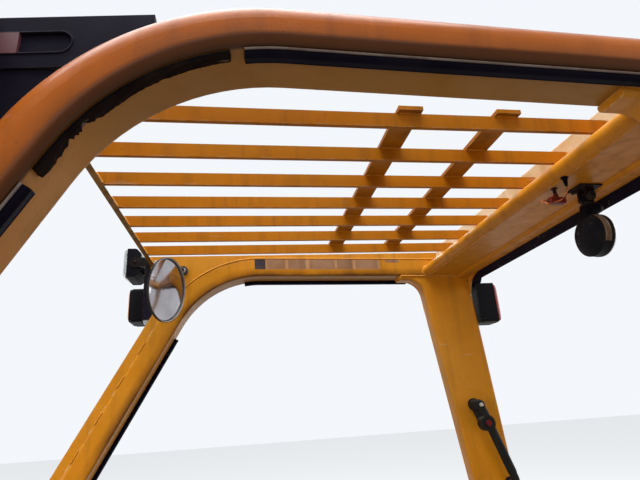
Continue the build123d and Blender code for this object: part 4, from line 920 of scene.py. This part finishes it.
neck = np.stack([xyz(LAMP_PIVOT[0] + ahead + half_x * across, LAMP_PIVOT[1] + half_y * up, z)
                 for z, ahead, half_x, half_y in LAMP_NECK])
crease(build("work_lamp_neck", [closed(neck)], housing_black, "work_lamp"), 50)
work_opening = LAMP_MIDDLE - (0.0205, 0, 0)
bowl = turned([(-0.017 * (1 - w * w), BOWL_R * w) for w in np.linspace(0, 1, 18)], work_opening, REARWARD, 60)
wall(build("work_lamp_bowl", [bowl], bright_bowl, "work_lamp"), 0.0006)
bulb = turned([(0, 0), (0, 0.007), (0.004, 0.007), (0.005, 0.005), (0.010, 0.005), (0.013, 0.003), (0.014, 0)],
              work_opening + (0.0165, 0, 0), REARWARD, 24)
build("work_lamp_bulb", [bulb], bulb_glass, "work_lamp")
dome = [(0.0008 + 0.0036 * (1 - w ** 4), LENS_R * w) for w in np.linspace(0, 1, 20)]
dome = turned(dome + [(-0.0008, LENS_R), (-0.0008, 0.0)], work_opening, REARWARD, 72)
build("work_lamp_lens_dome", [dome], clear_lens, "work_lamp", ["work_lamp_lens"])
ring_steel = finish("ring_steel", (0.66, 0.66, 0.66), (0.52, 0.50, 0.47), (0.16, 0.12, 0.09), (0.3, 0.2, 0), 0.16, 0.5,
                    0.0002, patch_scale=30.0, metal=1.0)


def ring_profile(along, half_along, radius, half_wide):
    """Oval section of a ring: a cosine along its axis and a sine across it."""
    return [(along + half_along * math.cos(a), radius + half_wide * math.sin(a)) for a in np.linspace(0, 2 * np.pi, 13)]


ring = turned(ring_profile(0.0008, 0.0016, 0.0434, 0.0018), work_opening, REARWARD, 72)
build("work_lamp_ring", [ring], ring_steel, "work_lamp")
lamp_vinyl = finish("lamp_strip_vinyl", (0.17, 0.105, 0.058), (0.22, 0.15, 0.10), (0.08, 0.05, 0.03), (0.7, 0.3, 0.6),
                    0.4, 0.7, 0.0002, pits=300.0, patch_scale=60.0, worn=(0.30, 0.25, 0.20))
way, turn = np.meshgrid(np.linspace(-0.0020, 0.0125, 6), np.radians(np.linspace(-32, 60, 40)), indexing="ij")
strip = LAMP_MIDDLE + xyz(-way, (LAMP_R + 0.0005) * np.cos(turn), (LAMP_R + 0.0005) * np.sin(turn))
wall(build("work_lamp_strip", [strip], lamp_vinyl, "work_lamp", wrap=False), 0.0003)
lamp_bolts = [hex_bolt(LAMP_PIVOT + (0, ear * 0.014, 0), (0, ear, 0), 0.009) for ear in SIDES]
lamp_bolts += [hex_bolt((-0.571, LAMP_PIVOT[1] + ear * 0.0155, 1.408), (0, 0, -1), 0.006) for ear in SIDES]
crease(build("work_lamp_bolts", lamp_bolts, bracket_paint))


# Lead of the work lamp: an orange and a brown wire twisted together, from the grommet under the member's
# roll to the flat dark red plug, which a black clip holds under the member.
LEAD_POINTS = ((-0.50675, 0.276, 1.392), (-0.50675, 0.276, 1.376), (-0.49075, 0.264, 1.362), (-0.47075, 0.249, 1.363),
               (-0.47575, 0.230, 1.377), (-0.48575, 0.222, 1.383), (-0.50175, 0.222, 1.383))
LEAD_TWIST, WIRE_R = 0.024, 0.00085
lead_curve = bpy.data.curves.new("lead_line", "CURVE")
lead_curve.dimensions = "3D"
lead_spline = lead_curve.splines.new("NURBS")
lead_spline.points.add(len(LEAD_POINTS) - 1)
for point, place in zip(lead_spline.points, LEAD_POINTS):
    point.co = (*place, 1)
lead_spline.order_u = 3
lead_spline.use_endpoint_u = True
lead_spline.resolution_u = 24
lead_object = bpy.data.objects.new("lead_line", lead_curve)
lead_mesh = bpy.data.meshes.new_from_object(lead_object)
lead_line = np.array([v.co for v in lead_mesh.vertices])
bpy.data.objects.remove(lead_object)
bpy.data.meshes.remove(lead_mesh)
lead_along = np.linspace(0, lengths(lead_line)[-1], 160)
lead_line = spaced(lead_line, lead_along)
lead_way = unit(np.gradient(lead_line, axis=0))
lead_side = unit(np.cross(lead_way, (0.35, 0.2, 0.92)))
lead_lift = np.cross(lead_way, lead_side)


def wire(name, start_angle, color, replaced=()):
    """Round wire wound about the lead's line: its middle is offset by the wire's radius at an angle that turns once
    every twist, and a ring of ten points goes round it."""
    angle = start_angle + 2 * np.pi * lead_along / LEAD_TWIST
    middle = lead_line + WIRE_R * (np.cos(angle)[:, None] * lead_side + np.sin(angle)[:, None] * lead_lift)
    ring = middle[:, None] + WIRE_R * ring_of(10, lead_side[:, None], lead_lift[:, None])
    skin = finish(name + "_skin", color, [0.7 * c for c in color], (0.05, 0.03, 0.02), (0.5, 0.3, 0), 0.3, 0.6, 0.0001,
                  patch_scale=60.0)
    build(name, [closed(ring)], skin, replaced=replaced)


wire("lamp_wire_orange", 0.0, (0.72, 0.16, 0.02), ["lamp_lead"])
wire("lamp_wire_brown", math.pi, (0.10, 0.035, 0.015))
plug_red = finish("plug_red", (0.20, 0.012, 0.012), (0.14, 0.02, 0.015), (0.05, 0.03, 0.02), (0.5, 0.3, 0), 0.3, 0.6,
                  0.0002, patch_scale=40.0)
dress(plug_red, "lead_plug")
boot = turned([(0, 0), (0, 0.0078), (0.0022, 0.0078), (0.0030, 0.0056), (0.0160, 0.0034), (0.0200, 0.0028),
               (0.0200, 0)], (LEAD_POINTS[0][0], LEAD_POINTS[0][1], MEMBER_UNDER + 0.0004), (0, 0, -1), 24)
build("lead_grommet_boot", [boot], seal_rubber, replaced=["lead_grommet"])
clip_long = MEMBER_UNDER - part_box("lead_plug")[1].z + 0.001
clip = turned([(0, 0), (0, 0.0075), (0.0014, 0.0072), (0.0020, 0.0038), (clip_long, 0.0038), (clip_long, 0)],
              (-0.51875, 0.222, MEMBER_UNDER + 0.0004), (0, 0, -1), 20)
build("lead_plug_clip", [clip], bracket_paint)


# Mirror: round convex glass in a black moulded shell with a thin pale rim. The shell's socket grips
# a ball on a bent steel arm, which one bolt holds to the right roof web.
MIRROR_MIDDLE, MIRROR_AIM = np.array((0.37925, -0.3815, 1.354)), (-0.91, 0.40, -0.10)
MIRROR_SEAT, GLASS_R, GLASS_DOME = -0.005, 0.0947, 0.014
sphere_r = (GLASS_R ** 2 + GLASS_DOME ** 2) / (2 * GLASS_DOME)
glass_rows = [(MIRROR_SEAT + GLASS_DOME - sphere_r + math.sqrt(sphere_r ** 2 - r * r), r)
              for r in np.linspace(0, GLASS_R, 28)]
mirror_face = finish("mirror_face", (0.43, 0.41, 0.42), (0.38, 0.36, 0.38), (0.20, 0.17, 0.16), (0.25, 0.3, 0), 0.06,
                     0.30, 0.00002, patch_scale=9.0, metal=1.0)
glass = turned(glass_rows + [(MIRROR_SEAT, GLASS_R), (MIRROR_SEAT, 0)], MIRROR_MIDDLE, MIRROR_AIM, 96)
build("mirror_glass_face", [glass], mirror_face, "mirror_head", ["mirror_glass"])
rim_paint = finish("rim_paint", (0.42, 0.42, 0.43), (0.32, 0.31, 0.30), (0.10, 0.08, 0.06), (0.3, 0.3, 0), 0.35, 0.6,
                   0.0002, patch_scale=30.0)
rim = turned(ring_profile(-0.0022, 0.0034, 0.0957, 0.0020), MIRROR_MIDDLE, MIRROR_AIM, 96)
build("mirror_rim", [rim], rim_paint, "mirror_head")
mirror_black = finish("mirror_shell", (0.008, 0.008, 0.009), (0.016, 0.015, 0.015), (0.04, 0.03, 0.022),
                      (0.35, 0.4, 0.4), 0.36, 0.68, 0.0004, pits=1000.0, patch_scale=9.0, worn=(0.09, 0.09, 0.09))
dress(mirror_black, "mirror_head")
arm_steel = finish("arm_steel", (0.030, 0.030, 0.032), (0.06, 0.052, 0.046), (0.12, 0.05, 0.02), (0.6, 0.4, 0.8), 0.32,
                   0.65, 0.0003, patch_scale=20.0, worn=(0.26, 0.22, 0.18))
dress(arm_steel, "mirror_arm")
dress(ring_steel, "mirror_ball")
crease(build("mirror_bolt", [hex_bolt((0.35325, -0.5035, 1.448), (0, 1, 0), 0.0085)], zinc))


# Grab handle on the right rear pillar: black rubber-coated bar on two eyelets, with a moulded grip and a thick
# upper end that one bright bolt holds. Its boss carries the horn's dark red button. A rubber plug closes the
# small hole in each rear pillar.
handle_rubber = finish("handle_rubber", (0.007, 0.007, 0.008), (0.014, 0.013, 0.012), (0.05, 0.035, 0.02),
                       (0.4, 0.35, 0.4), 0.42, 0.75, 0.0005, pits=800.0, patch_scale=12.0, worn=(0.06, 0.05, 0.045))
dress(handle_rubber, "grab_handle")
horn_red = finish("horn_red", (0.16, 0.010, 0.014), (0.12, 0.02, 0.02), (0.05, 0.03, 0.02), (0.4, 0.2, 0), 0.28, 0.55,
                  0.0002, patch_scale=40.0)
dress(horn_red, "horn_button")
GRIP_TOP, GRIP_LOW = np.array((-0.60267, -0.464, 0.966)), np.array((-0.68756, -0.464, 0.722))
grip = turned([(0.006, 0), (0.006, 0.0118), (0.012, 0.0134), (0.020, 0.0139), (0.214, 0.0139), (0.222, 0.0132),
               (0.226, 0.0118), (0.226, 0)], GRIP_TOP, GRIP_LOW - GRIP_TOP)
eyelet = turned([(0, 0), (0, 0.0182), (0.010, 0.0176), (0.046, 0.0164), (0.053, 0.0146), (0.0565, 0.0115),
                 (0.0575, 0.0080), (0.0575, 0)], (GRIP_TOP[0], -0.5115, GRIP_TOP[2] - 0.002), ACROSS)
button = box_of("horn_button")[0]
strut_top, strut_low = np.array((GRIP_TOP[0], -0.498, GRIP_TOP[2] - 0.003)), np.array((button[0], -0.482, button[2]))
strut_long = np.linalg.norm(strut_low - strut_top)
strut = turned([(0, 0), (0, 0.0120), (0.004, 0.0150), (strut_long - 0.004, 0.0165), (strut_long, 0.0140),
                (strut_long, 0)], strut_top, strut_low - strut_top)
build("handle_grip", [grip, eyelet, strut], handle_rubber)
handle_bolt = hex_bolt((GRIP_TOP[0], -0.4540, GRIP_TOP[2] - 0.002), ACROSS, 0.0068)
crease(build("handle_bolts", [handle_bolt], zinc))
plugs = [round_screw((-0.6560, side * PILLAR_IN, 1.3895), (0, -side, 0), 0.0032) for side in SIDES]
build("pillar_hole_plugs", plugs, seal_rubber)
